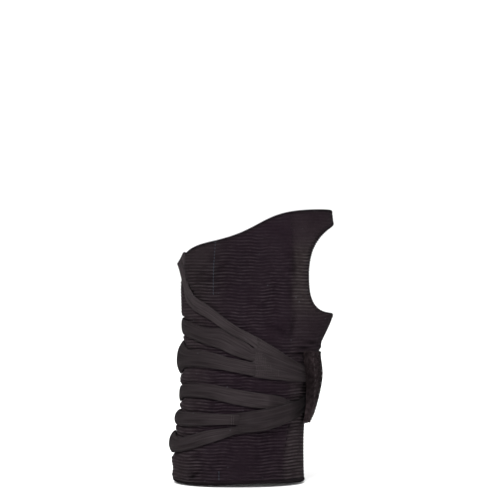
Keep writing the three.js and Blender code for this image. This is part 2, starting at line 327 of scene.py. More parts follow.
# %% Helpers for a mesh
def pick(piece):
    deselect_all()
    piece.select_set(True)
    bpy.context.view_layer.objects.active = piece


def apply_modifiers(piece):
    pick(piece)
    for modifier in list(piece.modifiers):
        bpy.ops.object.modifier_apply(modifier=modifier.name)


def corners(piece):
    found = np.empty(len(piece.data.vertices) * 3)
    piece.data.vertices.foreach_get("co", found)
    return found.reshape(-1, 3) / MM


def move_corners(piece, places):
    piece.data.vertices.foreach_set("co", (places * MM).ravel())
    piece.data.update()


def lay_uv(piece):
    """Writes the flat blank's millimetres into its UV map, so that a weave keeps its real size."""
    at_corner = np.empty(len(piece.data.loops), np.int32)
    piece.data.loops.foreach_get("vertex_index", at_corner)
    piece.data.uv_layers.active.name = "cloth"
    piece.data.uv_layers.active.data.foreach_set("uv", corners(piece)[at_corner, :2].ravel())


def delete_faces(piece, chosen):
    """Deletes the faces where chosen is true."""
    pick(piece)
    bpy.ops.object.mode_set(mode="EDIT")
    bpy.ops.mesh.select_mode(type="FACE")
    bpy.ops.mesh.select_all(action="DESELECT")
    bpy.ops.object.mode_set(mode="OBJECT")
    piece.data.polygons.foreach_set("select", chosen)
    bpy.ops.object.mode_set(mode="EDIT")
    bpy.ops.mesh.delete(type="FACE")
    bpy.ops.object.mode_set(mode="OBJECT")


def merge_corners(piece, distance):
    pick(piece)
    bpy.ops.object.mode_set(mode="EDIT")
    bpy.ops.mesh.select_mode(type="VERT")
    bpy.ops.mesh.select_all(action="SELECT")
    bpy.ops.mesh.remove_doubles(threshold=distance * MM)
    bpy.ops.object.mode_set(mode="OBJECT")


def soften(piece, angle):
    pick(piece)
    bpy.ops.object.shade_smooth_by_angle(angle=math.radians(angle))


def smooth_step(share):
    share = np.clip(share, 0, 1)
    return share * share * (3 - 2 * share)


print("helpers ready")

# %% [markdown]
# ## Sleeve pattern
#
# The sleeve is knitted flat with ribs that will run round it, then cut: a slanted top edge, an oval
# thumb hole and a nearly level hem. A boolean could cut a finished tube, but it leaves ragged triangles
# across the ribs. Here the blank is a flat grid with five rows to each rib. Faces that lie wholly outside
# the pattern are deleted, and the corners that are left outside go the shorter way to its outline and
# merge.

# %% Sleeve pattern
HEM = {"middle": -57, "wave": 0.7, "lowest": 150}
TOP_EDGE = {"middle": 80.3, "swing": 10.5, "peak": 19, "corner_dip": 4, "corner_sharpness": 24}
THUMB_HOLE = {"middle": 53, "above": 29.5, "below": 19.7, "palm": 36, "back": 39}
HOLE_SQUARE_ABOVE, HOLE_SQUARE_BELOW = 2, 3
RIB_PITCH = 1.75
ROWS_PER_RIB = 5
SLEEVE_COLUMNS = 104
SEAM_GIRTH = 226
MERGE = 0.01


def hem_height(girth):
    return HEM["middle"] - HEM["wave"] * np.cos(np.radians(2 * (girth - HEM["lowest"])))


def top_height(girth):
    corner = np.maximum(0, -np.cos(np.radians(girth))) ** TOP_EDGE["corner_sharpness"]
    swing = TOP_EDGE["swing"] * np.cos(np.radians(girth - TOP_EDGE["peak"]))
    return TOP_EDGE["middle"] + swing - TOP_EDGE["corner_dip"] * corner


def signed(girth):
    """The same girth from -180 to 180."""
    return (girth + 180) % 360 - 180


def round_run(degrees):
    """Millimetres round the sleeve for some degrees of girth."""
    return degrees / 360 * sleeve_girth


def hole_quarter(girth, height):
    """The width, the tallness and the squareness of the quarter of the thumb hole that a place is in."""
    above = height > THUMB_HOLE["middle"]
    side = np.where(signed(girth) >= 0, THUMB_HOLE["palm"], THUMB_HOLE["back"])
    tall = np.where(above, THUMB_HOLE["above"], THUMB_HOLE["below"])
    return side, tall, np.where(above, HOLE_SQUARE_ABOVE, HOLE_SQUARE_BELOW)


def hole_reach(girth, height):
    """How far the thumb hole reaches to the side, in degrees of girth, at a height."""
    side, tall, square = hole_quarter(girth, height)
    share = np.abs(height - THUMB_HOLE["middle"]) / tall
    return side * np.maximum(0, 1 - share**square) ** (1 / square)


def hole_rise(girth, height):
    """How far the thumb hole reaches up or down from its middle at a girth."""
    side, tall, square = hole_quarter(girth, height)
    share = np.abs(signed(girth)) / side
    return tall * np.maximum(0, 1 - share**square) ** (1 / square)


hem_low = float(hem_height(all_round).min())
rib_count = math.ceil((top_height(all_round).max() - hem_low) / RIB_PITCH)
deselect_all()
bpy.ops.mesh.primitive_grid_add(
    x_subdivisions=SLEEVE_COLUMNS, y_subdivisions=rib_count * ROWS_PER_RIB, size=1
)
sleeve = bpy.context.object
sleeve.name = sleeve.data.name = "sleeve_knit"
grid = corners(sleeve) * MM
girth = SEAM_GIRTH + 360 * (0.5 - grid[:, 0])
height = hem_low + (grid[:, 1] + 0.5) * rib_count * RIB_PITCH
in_hole = np.abs(signed(girth)) < hole_reach(girth, height)
outside = in_hole | (height > top_height(girth)) | (height < hem_height(girth))
height = np.clip(height, hem_height(girth), top_height(girth))
aside = np.where(signed(girth) >= 0, 1, -1) * hole_reach(girth, height) - signed(girth)
rise = height - THUMB_HOLE["middle"]
along = np.where(rise > 0, 1, -1) * hole_rise(girth, height) - rise
goes_aside = round_run(np.abs(aside)) < np.abs(along)
girth = np.where(in_hole & goes_aside, girth + aside, girth)
height = np.where(in_hole & ~goes_aside, height + along, height)
flat_x = round_run(SEAM_GIRTH - girth)
move_corners(sleeve, np.stack([flat_x, height, np.zeros_like(height)], axis=1))
face_corners = np.array([face.vertices[:] for face in sleeve.data.polygons])
delete_faces(sleeve, outside[face_corners].all(axis=1))
merge_corners(sleeve, MERGE)
lay_uv(sleeve)
print("sleeve blank:", rib_count, "ribs,", len(sleeve.data.polygons), "faces")

# %% [markdown]
# ## Ribs of the sleeve
#
# The knit has ribs that run round the sleeve. Each is a narrow round ridge on a wider ground. They stand
# out where the knit is slack and fade where it is stretched smooth. A slow wave and a table of patches
# tell how strongly they show at each place, for the form here and for the colour later.

# %% Ribs of the sleeve
RIB_DEEP = 0.65
RIB_SHARP = 1.6
RIB_SHOWN, RIB_VARIES = 0.5, 0.2
SHOWN_WAVES = [
    # waves round the sleeve, height in mm over which a wave shifts by a radian
    (7, 9),
    (3, -17),
]
PLAIN_PATCHES = [
    # girth, height, half width in mm, half height in mm, share of the ribbing lost or, below 0, gained
    (60, 78, 24, 12, 0.85),
    (30, 82, 14, 9, 0.9),
    (172, 0, 12, 45, 0.4),
    (66, 24, 11, 8, 0.8),
    (90, -48, 11, 13, 0.85),
    (12, 27, 20, 14, 0.95),
    (75, -5, 18, 6, 0.55),
    (156, 56, 12, 14, -0.3),
    (110, 52, 26, 16, -0.15),
    (150, 68, 9, 6, 0.8),
    (108, 46, 7, 5, 0.4),
    (80, 58, 8, 6, 0.4),
    (52, -46, 11, 13, -0.35),
    (130, -47, 11, 11, -0.4),
]


def bell(distance, width):
    return np.exp(-((distance / width) ** 2))


def patch(girth, height, at_girth, at_height, half_width, half_height):
    """1 at a place on the sleeve, falling to 0 beyond its half sizes in millimetres."""
    run = round_run(signed(girth - at_girth))
    return bell(run, half_width) * bell(height - at_height, half_height)


def ribbing(girth, height):
    """How strongly the ribs show, from about 0 where the cloth is stretched smooth to about 1."""
    wave = math.prod(np.sin(np.radians(waves * girth) + height / shift) for waves, shift in SHOWN_WAVES)
    shown = RIB_SHOWN + RIB_VARIES * wave
    for *place, lost in PLAIN_PATCHES:
        shown = shown * (1 - lost * patch(girth, height, *place))
    return shown


def rib_lift(girth, height):
    """How far the cloth lies below the ridges of its ribs, as a lift of 0 or less."""
    turn = 2 * np.pi * (height - hem_low) / RIB_PITCH
    rib = (0.5 + 0.5 * np.cos(turn)) ** RIB_SHARP
    return RIB_DEEP * ribbing(girth, height) * (rib - 1)


print("ribs about", round(RIB_DEEP * RIB_SHOWN, 2), "mm deep, every", RIB_PITCH, "mm")

# %% [markdown]
# ## Press of the strips
#
# The strips are pulled tight, so they press the cloth down and it swells between them, most of all on the
# little finger side. The first lace sinks deepest as it turns round that side. A cloth simulation could
# find this, but the tables of the strips already tell where each one presses.

# %% Press of the strips
SWELL, SIDE_SWELL = 0.5, 1.1
SIDE_GIRTH = (155, 205)
LACED_GIRTH = (30, 210)
LACED_HEIGHT = (-46, 60)
FADE_GIRTH, FADE_HEIGHT = 20, 8
PRESS_MARGIN = 3.0
BEFORE_START = 40
SINK = {"lace": "lace_1", "girth": (163, 174), "fade": 7, "deep": 1.5}


def under(rows, girth, height):
    """1 where one strip presses on the sleeve, falling to 0 beside it."""
    start = rows[0, GIRTH] - BEFORE_START
    along = (girth - start) % 360 + start
    low = read_curve(rows, LOW, along)
    high = read_curve(rows, HIGH, along)
    off_end = round_run(np.maximum(rows[0, GIRTH] - along, along - rows[-1, GIRTH]))
    off = np.maximum(np.maximum(low - height, height - high), off_end)
    return smooth_step(1 - off / PRESS_MARGIN)


def covered(girth, height):
    return np.max([under(rows, girth, height) for rows in strips.values()], axis=0)


def window(value, limits, fade):
    return smooth_step((value - limits[0]) / fade + 1) * smooth_step((limits[1] - value) / fade + 1)


def sunk(girth):
    """How deep the tight first lace sinks into the cloth as it turns round the side."""
    return SINK["deep"] * window(girth % 360, SINK["girth"], SINK["fade"])


def swelling(girth, height):
    """How far the cloth stands out between the strips, and sinks under the tightest one."""
    laced = window(girth % 360, LACED_GIRTH, FADE_GIRTH) * window(height, LACED_HEIGHT, FADE_HEIGHT)
    swell = SWELL + SIDE_SWELL * window(girth % 360, SIDE_GIRTH, FADE_GIRTH)
    pressed = sunk(girth) * under(strips[SINK["lace"]], girth, height)
    return swell * laced * (1 - covered(girth, height)) - pressed


print("cloth stands out by up to", SWELL + SIDE_SWELL, "mm between", len(strips), "strips")

# %% [markdown]
# ## Seams and creases
#
# Two upright seams pull the cloth in. The one beside the thumb hole has a lip on each side, where the
# layers are turned in, and it shows most beside the hole. The cloth bulges over the tight tab, and it
# crumples where it bends below the thumb hole. A crease is a short ridge with a place, a size and a tilt.

# %% Seams and creases
SEAM_DEEP, SEAM_WIDE = 0.7, 0.9
SEAM_LIP = {"stand": 0.3, "away": 2.2, "wide": 1.2}
SEAM_SHOWN, SEAM_FADE = (30, 62), 14
SEAM_FAINT = 0.25
THUMB_SEAM = np.array([
    # height, girth
    (-55.1, 39.8), (-41.7, 39.9), (-25.7, 36), (32.2, 50.6), (46, 52), (64.4, 48.7), (88, 46.5),
])
PALM_SEAM = np.array([(-54.9, 111.2), (-11.9, 124.4), (44, 141.6), (68.8, 144.7), (74, 145)])
BULGE = {"height": 14.8, "half": 2.2, "stand": 1.2, "girth": (-35, 18)}
CREASES = [
    # girth, height, half length in mm, half width in mm, how far it stands up, tilt as rise over run
    (34, 17.2, 4, 0.8, 0.8, 0.0),
    (33, 14.4, 5, 0.8, 0.9, -0.05),
    (26, 20.4, 3.4, 0.9, 0.7, 0.1),
    (12, 17.0, 3, 0.8, 0.6, 0.4),
    (139.5, -51.4, 3, 1.1, 0.95, -0.8),
    (60, 27.5, 9, 1.4, 0.25, 0.3),
]


def beside(girth, height, line):
    """Millimetres round the sleeve from a seam line, which is a table of height and girth."""
    return round_run(signed(girth - np.interp(height, line[:, 0], line[:, 1])))


def seam_shown(height):
    """How plainly the thumb seam shows: fully beside the thumb hole and faintly elsewhere."""
    return SEAM_FAINT + (1 - SEAM_FAINT) * window(height, SEAM_SHOWN, SEAM_FADE)


def seam_lift(girth, height):
    """How far the cloth sinks along the two seams and stands up beside the thumb seam."""
    from_seam = beside(girth, height, THUMB_SEAM)
    lips = SEAM_LIP["stand"] * bell(np.abs(from_seam) - SEAM_LIP["away"], SEAM_LIP["wide"])
    thumb_seam = seam_shown(height) * (lips - SEAM_DEEP * bell(from_seam, SEAM_WIDE))
    return thumb_seam - SEAM_DEEP / 2 * bell(beside(girth, height, PALM_SEAM), SEAM_WIDE)


def crease_lift(girth, height):
    """How far the cloth stands up in its bulge over the tab and in its creases."""
    above_tab = window(signed(girth), BULGE["girth"], FADE_GIRTH)
    lift = BULGE["stand"] * above_tab * bell(height - BULGE["height"], BULGE["half"])
    for at_girth, at_height, half_length, half_width, stand, tilt in CREASES:
        run = round_run(signed(girth - at_girth))
        across = height - at_height - tilt * run
        lift = lift + stand * bell(run, half_length) * bell(across, half_width)
    return lift


def sleeve_relief(girth, height):
    """How far the outer face stands out from the plain form."""
    soft = swelling(girth, height) + seam_lift(girth, height) + crease_lift(girth, height)
    return rib_lift(girth, height) + soft


print("seams: 2, creases:", len(CREASES))

# %% [markdown]
# ## Dye and painted shade of the sleeve
#
# The panel beside the thumb hole is of a greyer cloth than the purple-black middle, and the little finger
# side is half as grey. The colour is darker at the bound edges and along the thumb seam, where painted
# shade lies in the sunken groove, and painted shadow falls below each crease. A few patches are brighter or
# darker. These values follow the surface, so they are kept in attributes of the mesh, one value for each
# corner.

# %% Dye and painted shade of the sleeve
EDGE_PINCH = {"outer": 0.45, "inner": 0.45, "reach": 1.4}
BACK_SEAM_GIRTH = -48
PANEL_FADE = 3.6
PANEL_LEVELS = np.array([
    # height, how grey the panel is there
    (-57, 0.6), (-20, 0.6), (14, 0.2), (30, 0.25), (42, 0.9), (66, 1.0), (76, 0.35), (90, 0.2),
])
FAR_GREY, FAR_GIRTH, FAR_END = 0.5, (120, 158), 300
# How much painted shade darkens the sunken thumb seam, and how much darker the bound edges are.
SEAM_SHADE, EDGE_SHADE = 0.45, 0.4
# How far below a crease its painted shadow lies, in half widths of the crease.
CREASE_SHADOW = 1.5
TONE_PATCHES = [
    # girth, height, half width in mm, half height in mm, how much brighter or, below 0, darker
    (176, -46, 7, 16, 0.45),
    (100, 58, 30, 12, -0.1),
    (152, 58, 14, 16, -0.2),
    (30, -46, 8, 16, 0.16),
    (205, 60, 30, 30, -0.1),
]


def edge_gap(girth, height):
    """Millimetres from the nearest cut edge of the sleeve."""
    to_hole = np.abs(signed(girth)) - hole_reach(girth, height)
    beyond = np.maximum(height - THUMB_HOLE["middle"] - THUMB_HOLE["above"],
                        THUMB_HOLE["middle"] - THUMB_HOLE["below"] - height)
    to_hole = np.hypot(round_run(np.maximum(to_hole, 0)), np.maximum(beyond, 0))
    return np.minimum(np.minimum(top_height(girth) - height, height - hem_height(girth)), to_hole)


def greyness(girth, height):
    """How grey the cloth is: most on the panel beside the thumb hole, and not at all on the middle."""
    in_front = -beside(girth, height, THUMB_SEAM)
    behind = round_run(signed(girth) - BACK_SEAM_GIRTH)
    level = np.interp(height, PANEL_LEVELS[:, 0], PANEL_LEVELS[:, 1])
    panel = level * smooth_step(in_front / PANEL_FADE + 0.5) * smooth_step(behind / PANEL_FADE + 0.5)
    far_side = FAR_GREY * smooth_step((girth % 360 - FAR_GIRTH[0]) / (FAR_GIRTH[1] - FAR_GIRTH[0]))
    return np.where(girth % 360 < FAR_END, np.maximum(panel, far_side), panel)


def sleeve_tone(girth, height):
    """How bright the colour is: painted shade in the sunken thumb seam and below the creases, darker at the
    bound edges, and brighter or darker in a few patches.
    """
    # Painted shade in the sunken thumb seam, strongest beside the thumb hole.
    shown = seam_shown(height)
    tone = 1 - SEAM_SHADE * shown * bell(beside(girth, height, THUMB_SEAM), SEAM_WIDE)
    tone = tone * (1 - EDGE_SHADE * bell(edge_gap(girth, height), EDGE_PINCH["reach"]))
    # Painted shadow just below each crease, as strong as the crease stands high.
    for at_girth, at_height, half_length, half_width, stand, tilt in CREASES:
        run = round_run(signed(girth - at_girth))
        below = height - at_height - tilt * run + CREASE_SHADOW * half_width
        tone = tone * (1 - stand * bell(run, half_length) * bell(below, half_width))
    for *place, gain in TONE_PATCHES:
        tone = tone * (1 + gain * patch(girth, height, *place))
    return tone


def mark(piece, name, values):
    """Writes a value for each corner of a piece into an attribute that its material reads."""
    piece.data.attributes.new(name, "FLOAT", "POINT").data.foreach_set("value", values)


print("tone patches:", len(TONE_PATCHES))

# %% [markdown]
# ## Sleeve on the worn form
#
# Worn cloth is thick, stretched and pressed. Solidify gives the flat blank its wall first, because on ribs
# it would fold the inner face over itself. Then all corners move to the worn form. The ribs sway a little
# on their way round, and the wall thins at its bound edges. Three attributes tell the material how grey the
# cloth is, how strongly the ribs show and how bright the colour is, with painted shade along the thumb seam
# and below the creases.

# %% Sleeve on the worn form
SLEEVE_WALL = 2.2
INNER_SHARE = 0.3
RIB_SWAY = [
    # size in mm, waves round the sleeve, height in mm over which a wave shifts by a radian
    (0.24, 5, 23),
    (0.2, 13, -19),
]
SWAY_MARGIN = 4
SLEEVE_SMOOTH = 60

wall = sleeve.modifiers.new("wall", "SOLIDIFY")
wall.thickness = SLEEVE_WALL * MM
wall.offset = -1
apply_modifiers(sleeve)
flat = corners(sleeve)
face_ends = np.array([
    np.ptp(flat[list(face.vertices), 0]) < MERGE
    and abs(abs(flat[face.vertices[0], 0] + sleeve_girth / 2) - sleeve_girth / 2) < MERGE
    for face in sleeve.data.polygons
])
delete_faces(sleeve, face_ends)
flat = corners(sleeve)
girth = SEAM_GIRTH - flat[:, 0] / sleeve_girth * 360
height = flat[:, 1]
inner = flat[:, 2] < -SLEEVE_WALL / 2
mark(sleeve, "grey", greyness(girth, height))
mark(sleeve, "ribbing", ribbing(girth, height))
# The tone holds painted shade along the thumb seam and below the creases.
mark(sleeve, "tone", sleeve_tone(girth, height))
relief = sleeve_relief(girth, height)
pinch = bell(edge_gap(girth, height), EDGE_PINCH["reach"])
outer_lift = relief - EDGE_PINCH["outer"] * pinch
inner_lift = -SLEEVE_WALL + INNER_SHARE * relief + EDGE_PINCH["inner"] * pinch
sway = sum(size * np.sin(np.radians(waves * girth) + height / shift) for size, waves, shift in RIB_SWAY)
keep = smooth_step(edge_gap(girth, height) / SWAY_MARGIN)
move_corners(sleeve, worn_point(girth, height + sway * keep, np.where(inner, inner_lift, outer_lift)))
merge_corners(sleeve, MERGE)
soften(sleeve, SLEEVE_SMOOTH)
print("sleeve:", len(sleeve.data.polygons), "faces")

# %% [markdown]
# ## Tape
#
# A lace is a flat woven tape with round edges. A curve with a flat bevel could make one, but its ends and
# its width are hard to control. Here each tape is cut as a flat blank of its real length and width,
# thickened with Solidify, given round edges with Bevel while it is still flat, and then laid on the worn
# form by its table. The flat millimetres become its UV map before it is bent.

# %% Cut a tape
ROUND_STEPS, ROUND_ANGLE = 2, 60


def cut_blank(name, length, width, thick, columns, bands, edge):
    """A flat tape from the origin to its length along X and its width along Y, with round edges."""
    deselect_all()
    bpy.ops.mesh.primitive_grid_add(x_subdivisions=columns, y_subdivisions=bands, size=1)
    blank = bpy.context.object
    blank.name = blank.data.name = name
    bpy.ops.object.mode_set(mode="EDIT")
    bpy.ops.transform.translate(value=(0.5, 0.5, 0))
    bpy.ops.transform.resize(value=(length * MM, width * MM, 1), center_override=(0, 0, 0))
    bpy.ops.object.mode_set(mode="OBJECT")
    wall = blank.modifiers.new("wall", "SOLIDIFY")
    wall.thickness = thick * MM
    wall.offset = 1
    rounding = blank.modifiers.new("round edge", "BEVEL")
    rounding.width = edge * MM
    rounding.segments = ROUND_STEPS
    rounding.limit_method = "ANGLE"
    rounding.angle_limit = math.radians(ROUND_ANGLE)
    apply_modifiers(blank)
    lay_uv(blank)
    return blank


print("blank cutter ready")

# %% [markdown]
# ### Laying a tape
#
# The blank runs from 0 to its length and from 0 to its width, so each corner has a share along and a
# share across. The share along picks the girth, the share across the height between the two edges, and
# the table gives the lift. A tape may lean: its girth then shifts with the height, so its end is slanted.

# %% Lay a tape
UPRIGHT_LEAN = 0.33
LINE_POINTS = 200
CROWN_POWER = 2.4
TAPE_SMOOTH = 50
outer_faces = {}


def on_strip(rows, girth, up, out, lean, relief):
    """Points on a strip: up is 0 at its lower edge and 1 at its upper one, out is from its inner face."""
    low = read_curve(rows, LOW, girth)
    high = read_curve(rows, HIGH, girth)
    height = low + up * (high - low)
    along = (girth - rows[0, GIRTH]) / (rows[-1, GIRTH] - rows[0, GIRTH])
    leaning = lean[0] + along * (lean[1] - lean[0])
    lift = read_curve(rows, LIFT, girth) + out
    lift = lift + read_curve(rows, CROWN, girth) * (1 - np.abs(2 * up - 1) ** CROWN_POWER)
    lift = lift + relief(girth, up)
    return worn_point(girth + leaning * (height - (low + high) / 2), height, lift)


def full(girth):
    """The full thickness everywhere."""
    return np.ones_like(girth)


def even_tone(girth, up):
    """The same dye everywhere."""
    return np.ones_like(girth)


def tone_along(table):
    """How bright a tape is along its girth, from a table of girths and tones that holds painted shade."""
    return lambda girth, up: np.interp(girth, *np.transpose(table))


def wear_strip(
    strip, kind, thick, columns, bands, edge, relief, lean=(0, 0), tuck=(0, 0), thin=full, tone=even_tone
):
    """Cuts a tape to a strip's length and mean width, lays it on the worn form and keeps its outer face."""
    rows = strips[strip]
    first = rows[0, GIRTH] - tuck[0]
    last = rows[-1, GIRTH] + tuck[1]
    line = np.linspace(first, last, LINE_POINTS)
    low = read_curve(rows, LOW, line)
    high = read_curve(rows, HIGH, line)
    length = path_length(worn_point(line, (low + high) / 2, 0))
    width = float(np.mean(high - low))
    tape = cut_blank(f"{strip}_{kind}", length, width, thick, columns, bands, edge)
    x, y, out = corners(tape).T
    girth = last + x / length * (first - last)
    out = out * thin(girth)
    # For laces and straps the tone carries painted shade.
    mark(tape, "tone", tone(girth, y / width))
    move_corners(tape, on_strip(rows, girth, y / width, out, lean, relief))
    soften(tape, TAPE_SMOOTH)
    outer_faces[strip] = lambda at, share, off: on_strip(
        rows, at, share, thick * thin(at) + off, lean, relief
    )
    print(f"{tape.name}: {length:.0f} mm long, {width:.1f} mm wide, {len(tape.data.polygons)} faces")
    return tape


def frames_on(strip, girth, up):
    """Places on a strip's outer face, each with its directions along the strip, across it and out."""
    face = outer_faces[strip]
    places = face(girth, up, 0)
    out = unit(face(girth, up, 1) - places)
    across = unit(np.cross(out, face(girth + SLOPE_STEP, up, 0) - face(girth - SLOPE_STEP, up, 0)))
    return places, np.stack([np.cross(across, out), across, out], axis=1)


print("tape helpers ready")

# %% [markdown]
# ## Laces
#
# Six laces run from the anchor strip, round the little finger side, across the palm side and into the pull
# straps. On the real object they are soft: each one cups slightly, its lower edge stands a little off the
# sleeve, and it waves where it is slack. These are small lifts added to the tables, different for each
# lace. The ends thin out under the pull straps. Most laces carry painted shade towards the little finger
# side, where they turn away from the light, and where they run under a strap.

# %% Laces
LACE_THICK = 0.9
LACE_EDGE = 0.3
LACE_CUP = 0.3
LACE_PRESS = 0.15
LACE_CURL, CURL_TURN, CURL_SHIFT = 0.25, 4.3, 2.1
LACE_WAVE, WAVE_TURN, WAVE_SHIFT, WAVE_SKEW = 0.16, 6, 1.7, 1.5
SLACK_GIRTH, TIGHT_WAVE = (140, 165), 0.35
LACE_MESH = (96, 10)
LACE_TUCK = {**dict.fromkeys(LACES, 8), "lace_1": 0}
END_TAPER, END_THIN = 9, 0.3
PEAK_GIRTH, PEAK_SPREAD, PEAK_TRIM = 181, 9, 1.0
LACE_TONES = {
    # girth, how bright the tape is there; darker stretches are painted shade where the lace turns round the
    # little finger side and where it runs under a strap
    "lace_1": [(90, 1.22), (112, 1.06), (150, 1.08), (166, 1.16), (180, 1.25)],
    "lace_2": [(90, 1.0), (123, 0.95), (145, 0.74), (216, 0.78)],
    "lace_3": [(90, 1.0), (123, 0.95), (145, 0.7), (216, 0.75)],
    "lace_4": [(55, 0.72), (59, 0.76), (64, 1.02), (85, 1.02), (116, 0.95), (143, 0.75), (216, 0.75)],
    "lace_5": [(95, 0.75), (106, 0.9), (126, 0.92), (138, 0.75), (216, 0.75)],
    "lace_6": [(95, 0.72), (108, 0.84), (120, 1.0), (132, 0.84), (216, 0.7)],
}


def lace_relief(number, name):
    """The small lifts of one lace: its cup, its curled lower edge and its waves."""
    def relief(girth, up):
        edge = np.abs(2 * up - 1)
        cup = LACE_CUP * (1 - edge**2) - LACE_PRESS * edge**4
        comes_and_goes = (1 + np.sin(np.radians(CURL_TURN * girth) + CURL_SHIFT * number)) / 2
        curl = LACE_CURL * (1 - up) ** 3 * comes_and_goes
        wave = LACE_WAVE * np.sin(np.radians(WAVE_TURN * girth) + WAVE_SHIFT * number + WAVE_SKEW * up)
        slack = smooth_step((girth - SLACK_GIRTH[0]) / (SLACK_GIRTH[1] - SLACK_GIRTH[0]))
        lift = cup + curl + wave * (TIGHT_WAVE + (1 - TIGHT_WAVE) * slack) + LACE_WAVE * TIGHT_WAVE
        if name == SINK["lace"]:
            lift -= sunk(girth) + PEAK_TRIM * bell(girth - PEAK_GIRTH, PEAK_SPREAD) * np.sin(np.pi * edge)
        return lift
    return relief


def lace_thin(name):
    end = strips[name][0, GIRTH] - LACE_TUCK[name]
    return lambda girth: END_THIN + (1 - END_THIN) * smooth_step((girth - end) / END_TAPER)


laces = []
for number, name in enumerate(LACES, 1):
    tape = wear_strip(
        name, "tape", LACE_THICK, *LACE_MESH, LACE_EDGE,
        lace_relief(number, name), lean=(UPRIGHT_LEAN, 0), tuck=(LACE_TUCK[name], 1),
        thin=lace_thin(name), tone=tone_along(LACE_TONES[name]),
    )
    laces.append((tape, name))

# %% [markdown]
# ## Pull straps
#
# Each pull strap is a doubled piece of the same tape stuff that the laces are sewn into. At its sewn end it
# thins out between the laces, so that they seem to flow into it. It gathers into soft lengthwise folds as
# it narrows. It grows darker towards the tab, and darkest at and under the tab's edge, where the darkening
# is painted shade.

# %% Pull straps
STRAP_THICK = 1.3
STRAP_EDGE = 0.4
FOLD_DEEP, FOLD_TURN, GATHER_REACH = 0.3, 1.5, 45
STRAP_WAVE, STRAP_TURN, STRAP_SKEW = 0.1, 8, 2
STRAP_FOLDS = {"upper_gather": 3.0, "lower_gather": 2.0}
STRAP_MESH = (84, 24)
SEWN_REACH = 9
SEWN_THIN = 0.06
SEWN_RISE = 0.15
STRAP_TONES = {
    # girth, how bright the tape is there; the darkest values are painted shade at and under the tab's edge
    "upper_gather": [(28, 0.74), (44, 0.86), (64, 0.9), (80, 1.04)],
    "lower_gather": [(24, 0.2), (31, 0.34), (41, 0.74), (80, 0.77), (97, 0.6)],
}


def sewn(girth, sewn_end):
    """1 at the strap's sewn end, falling to 0 before it."""
    return smooth_step((girth - sewn_end) / SEWN_REACH + 1)


def strap_relief(folds, sewn_end):
    """The small lifts of a strap: its folds where it gathers, its waves and its sewn end."""
    def relief(girth, up):
        gathered = smooth_step((sewn_end - girth) / GATHER_REACH)
        fold = FOLD_DEEP * gathered * np.sin(2 * np.pi * folds * up + np.radians(FOLD_TURN * girth))
        wave = STRAP_WAVE * np.sin(np.radians(STRAP_TURN * girth) + STRAP_SKEW * up)
        flat_edge = np.sqrt(np.maximum(np.sin(np.pi * up), 0))
        return fold * flat_edge + SEWN_RISE * sewn(girth, sewn_end) + wave
    return relief


def strap_thin(sewn_end):
    return lambda girth: 1 + (SEWN_THIN - 1) * sewn(girth, sewn_end)


straps = []
for name, folds in STRAP_FOLDS.items():
    sewn_end = strips[name][-1, GIRTH]
    strap = wear_strip(
        name, "strap", STRAP_THICK, *STRAP_MESH, STRAP_EDGE, strap_relief(folds, sewn_end),
        lean=(UPRIGHT_LEAN, UPRIGHT_LEAN), thin=strap_thin(sewn_end), tone=tone_along(STRAP_TONES[name]),
    )
    straps.append((strap, name))

# %% [markdown]
# ## Closing tab
#
# The tab is loop fabric. It arches over the ends of the pull straps and presses flat on the back. Its
# front edge thins and presses down on the straps, so that they seem to run into it.

# %% Closing tab
TAB_THICK = 1.5
TAB_EDGE = 0.7
FRONT_REACH = 7
FRONT_PRESS = 1.1
FRONT_THIN = 0.4
FRONT_SHADE = 0.35
TOP_GLOW, LOW_GLOW = 0.3, 0.95
TOP_FROM, LOW_FROM, GLOW_FADE = 0.6, 0.45, 0.3
TAB_MESH = (90, 40)
TAB_LUMPS = [
    # size in mm, waves round the sleeve, shift over the width in radians
    (0.16, 5, 5),
    (0.12, 9, -7),
]


def from_front(girth):
    """0 at the tab's front edge, rising to 1 behind it."""
    front = strips["closure_tab"][-1, GIRTH]
    return smooth_step(round_run(front - girth) / FRONT_REACH)


def tab_relief(girth, up):
    lumps = sum(size * np.sin(np.radians(waves * girth) + shift * up) for size, waves, shift in TAB_LUMPS)
    middle = 1 - (2 * up - 1) ** 2
    return lumps - FRONT_PRESS * (1 - from_front(girth)) * middle**2


def tab_thin(girth):
    return FRONT_THIN + (1 - FRONT_THIN) * from_front(girth)


def tab_tone(girth, up):
    """Darker at the front edge, brighter near the top and the bottom."""
    shade = FRONT_SHADE * (1 - from_front(girth))
    glow = TOP_GLOW * smooth_step((up - TOP_FROM) / GLOW_FADE)
    glow = glow + LOW_GLOW * smooth_step((LOW_FROM - up) / GLOW_FADE)
    return (1 - shade * (1 - glow)) * (1 + glow)


tab = wear_strip(
    "closure_tab", "loop_fabric", TAB_THICK, *TAB_MESH, TAB_EDGE, tab_relief,
    lean=(0, UPRIGHT_LEAN), thin=tab_thin, tone=tab_tone,
)

# %% [markdown]
# ## Anchor strip
#
# The six laces are sewn to an upright strip on the back of the little finger side. It is plain tape, made
# as the laces are, with slight waves where the stitches pull it in.

# %% Anchor strip
ANCHOR_THICK = 1.0
ANCHOR_EDGE = 0.3
ANCHOR_WAVE, WAVES_UP, WAVES_ROUND = 0.08, 40, 12
ANCHOR_MESH = (14, 90)


def anchor_relief(girth, up):
    return ANCHOR_WAVE * np.sin(WAVES_UP * up) * np.sin(np.radians(WAVES_ROUND * girth))


anchor = wear_strip("lace_anchor", "tape", ANCHOR_THICK, *ANCHOR_MESH, ANCHOR_EDGE, anchor_relief)

# %% [markdown]
# ## Thread
#
# Stitches repeat hundreds of times, so each kind is modelled once, with few faces, and copied to a row of
# frames. A frame is a place on the sleeve with three directions: along the seam, across it and out of the
# cloth. A path curve gives the thread its bends, its bevel gives the thickness, and convert makes it a
# mesh.

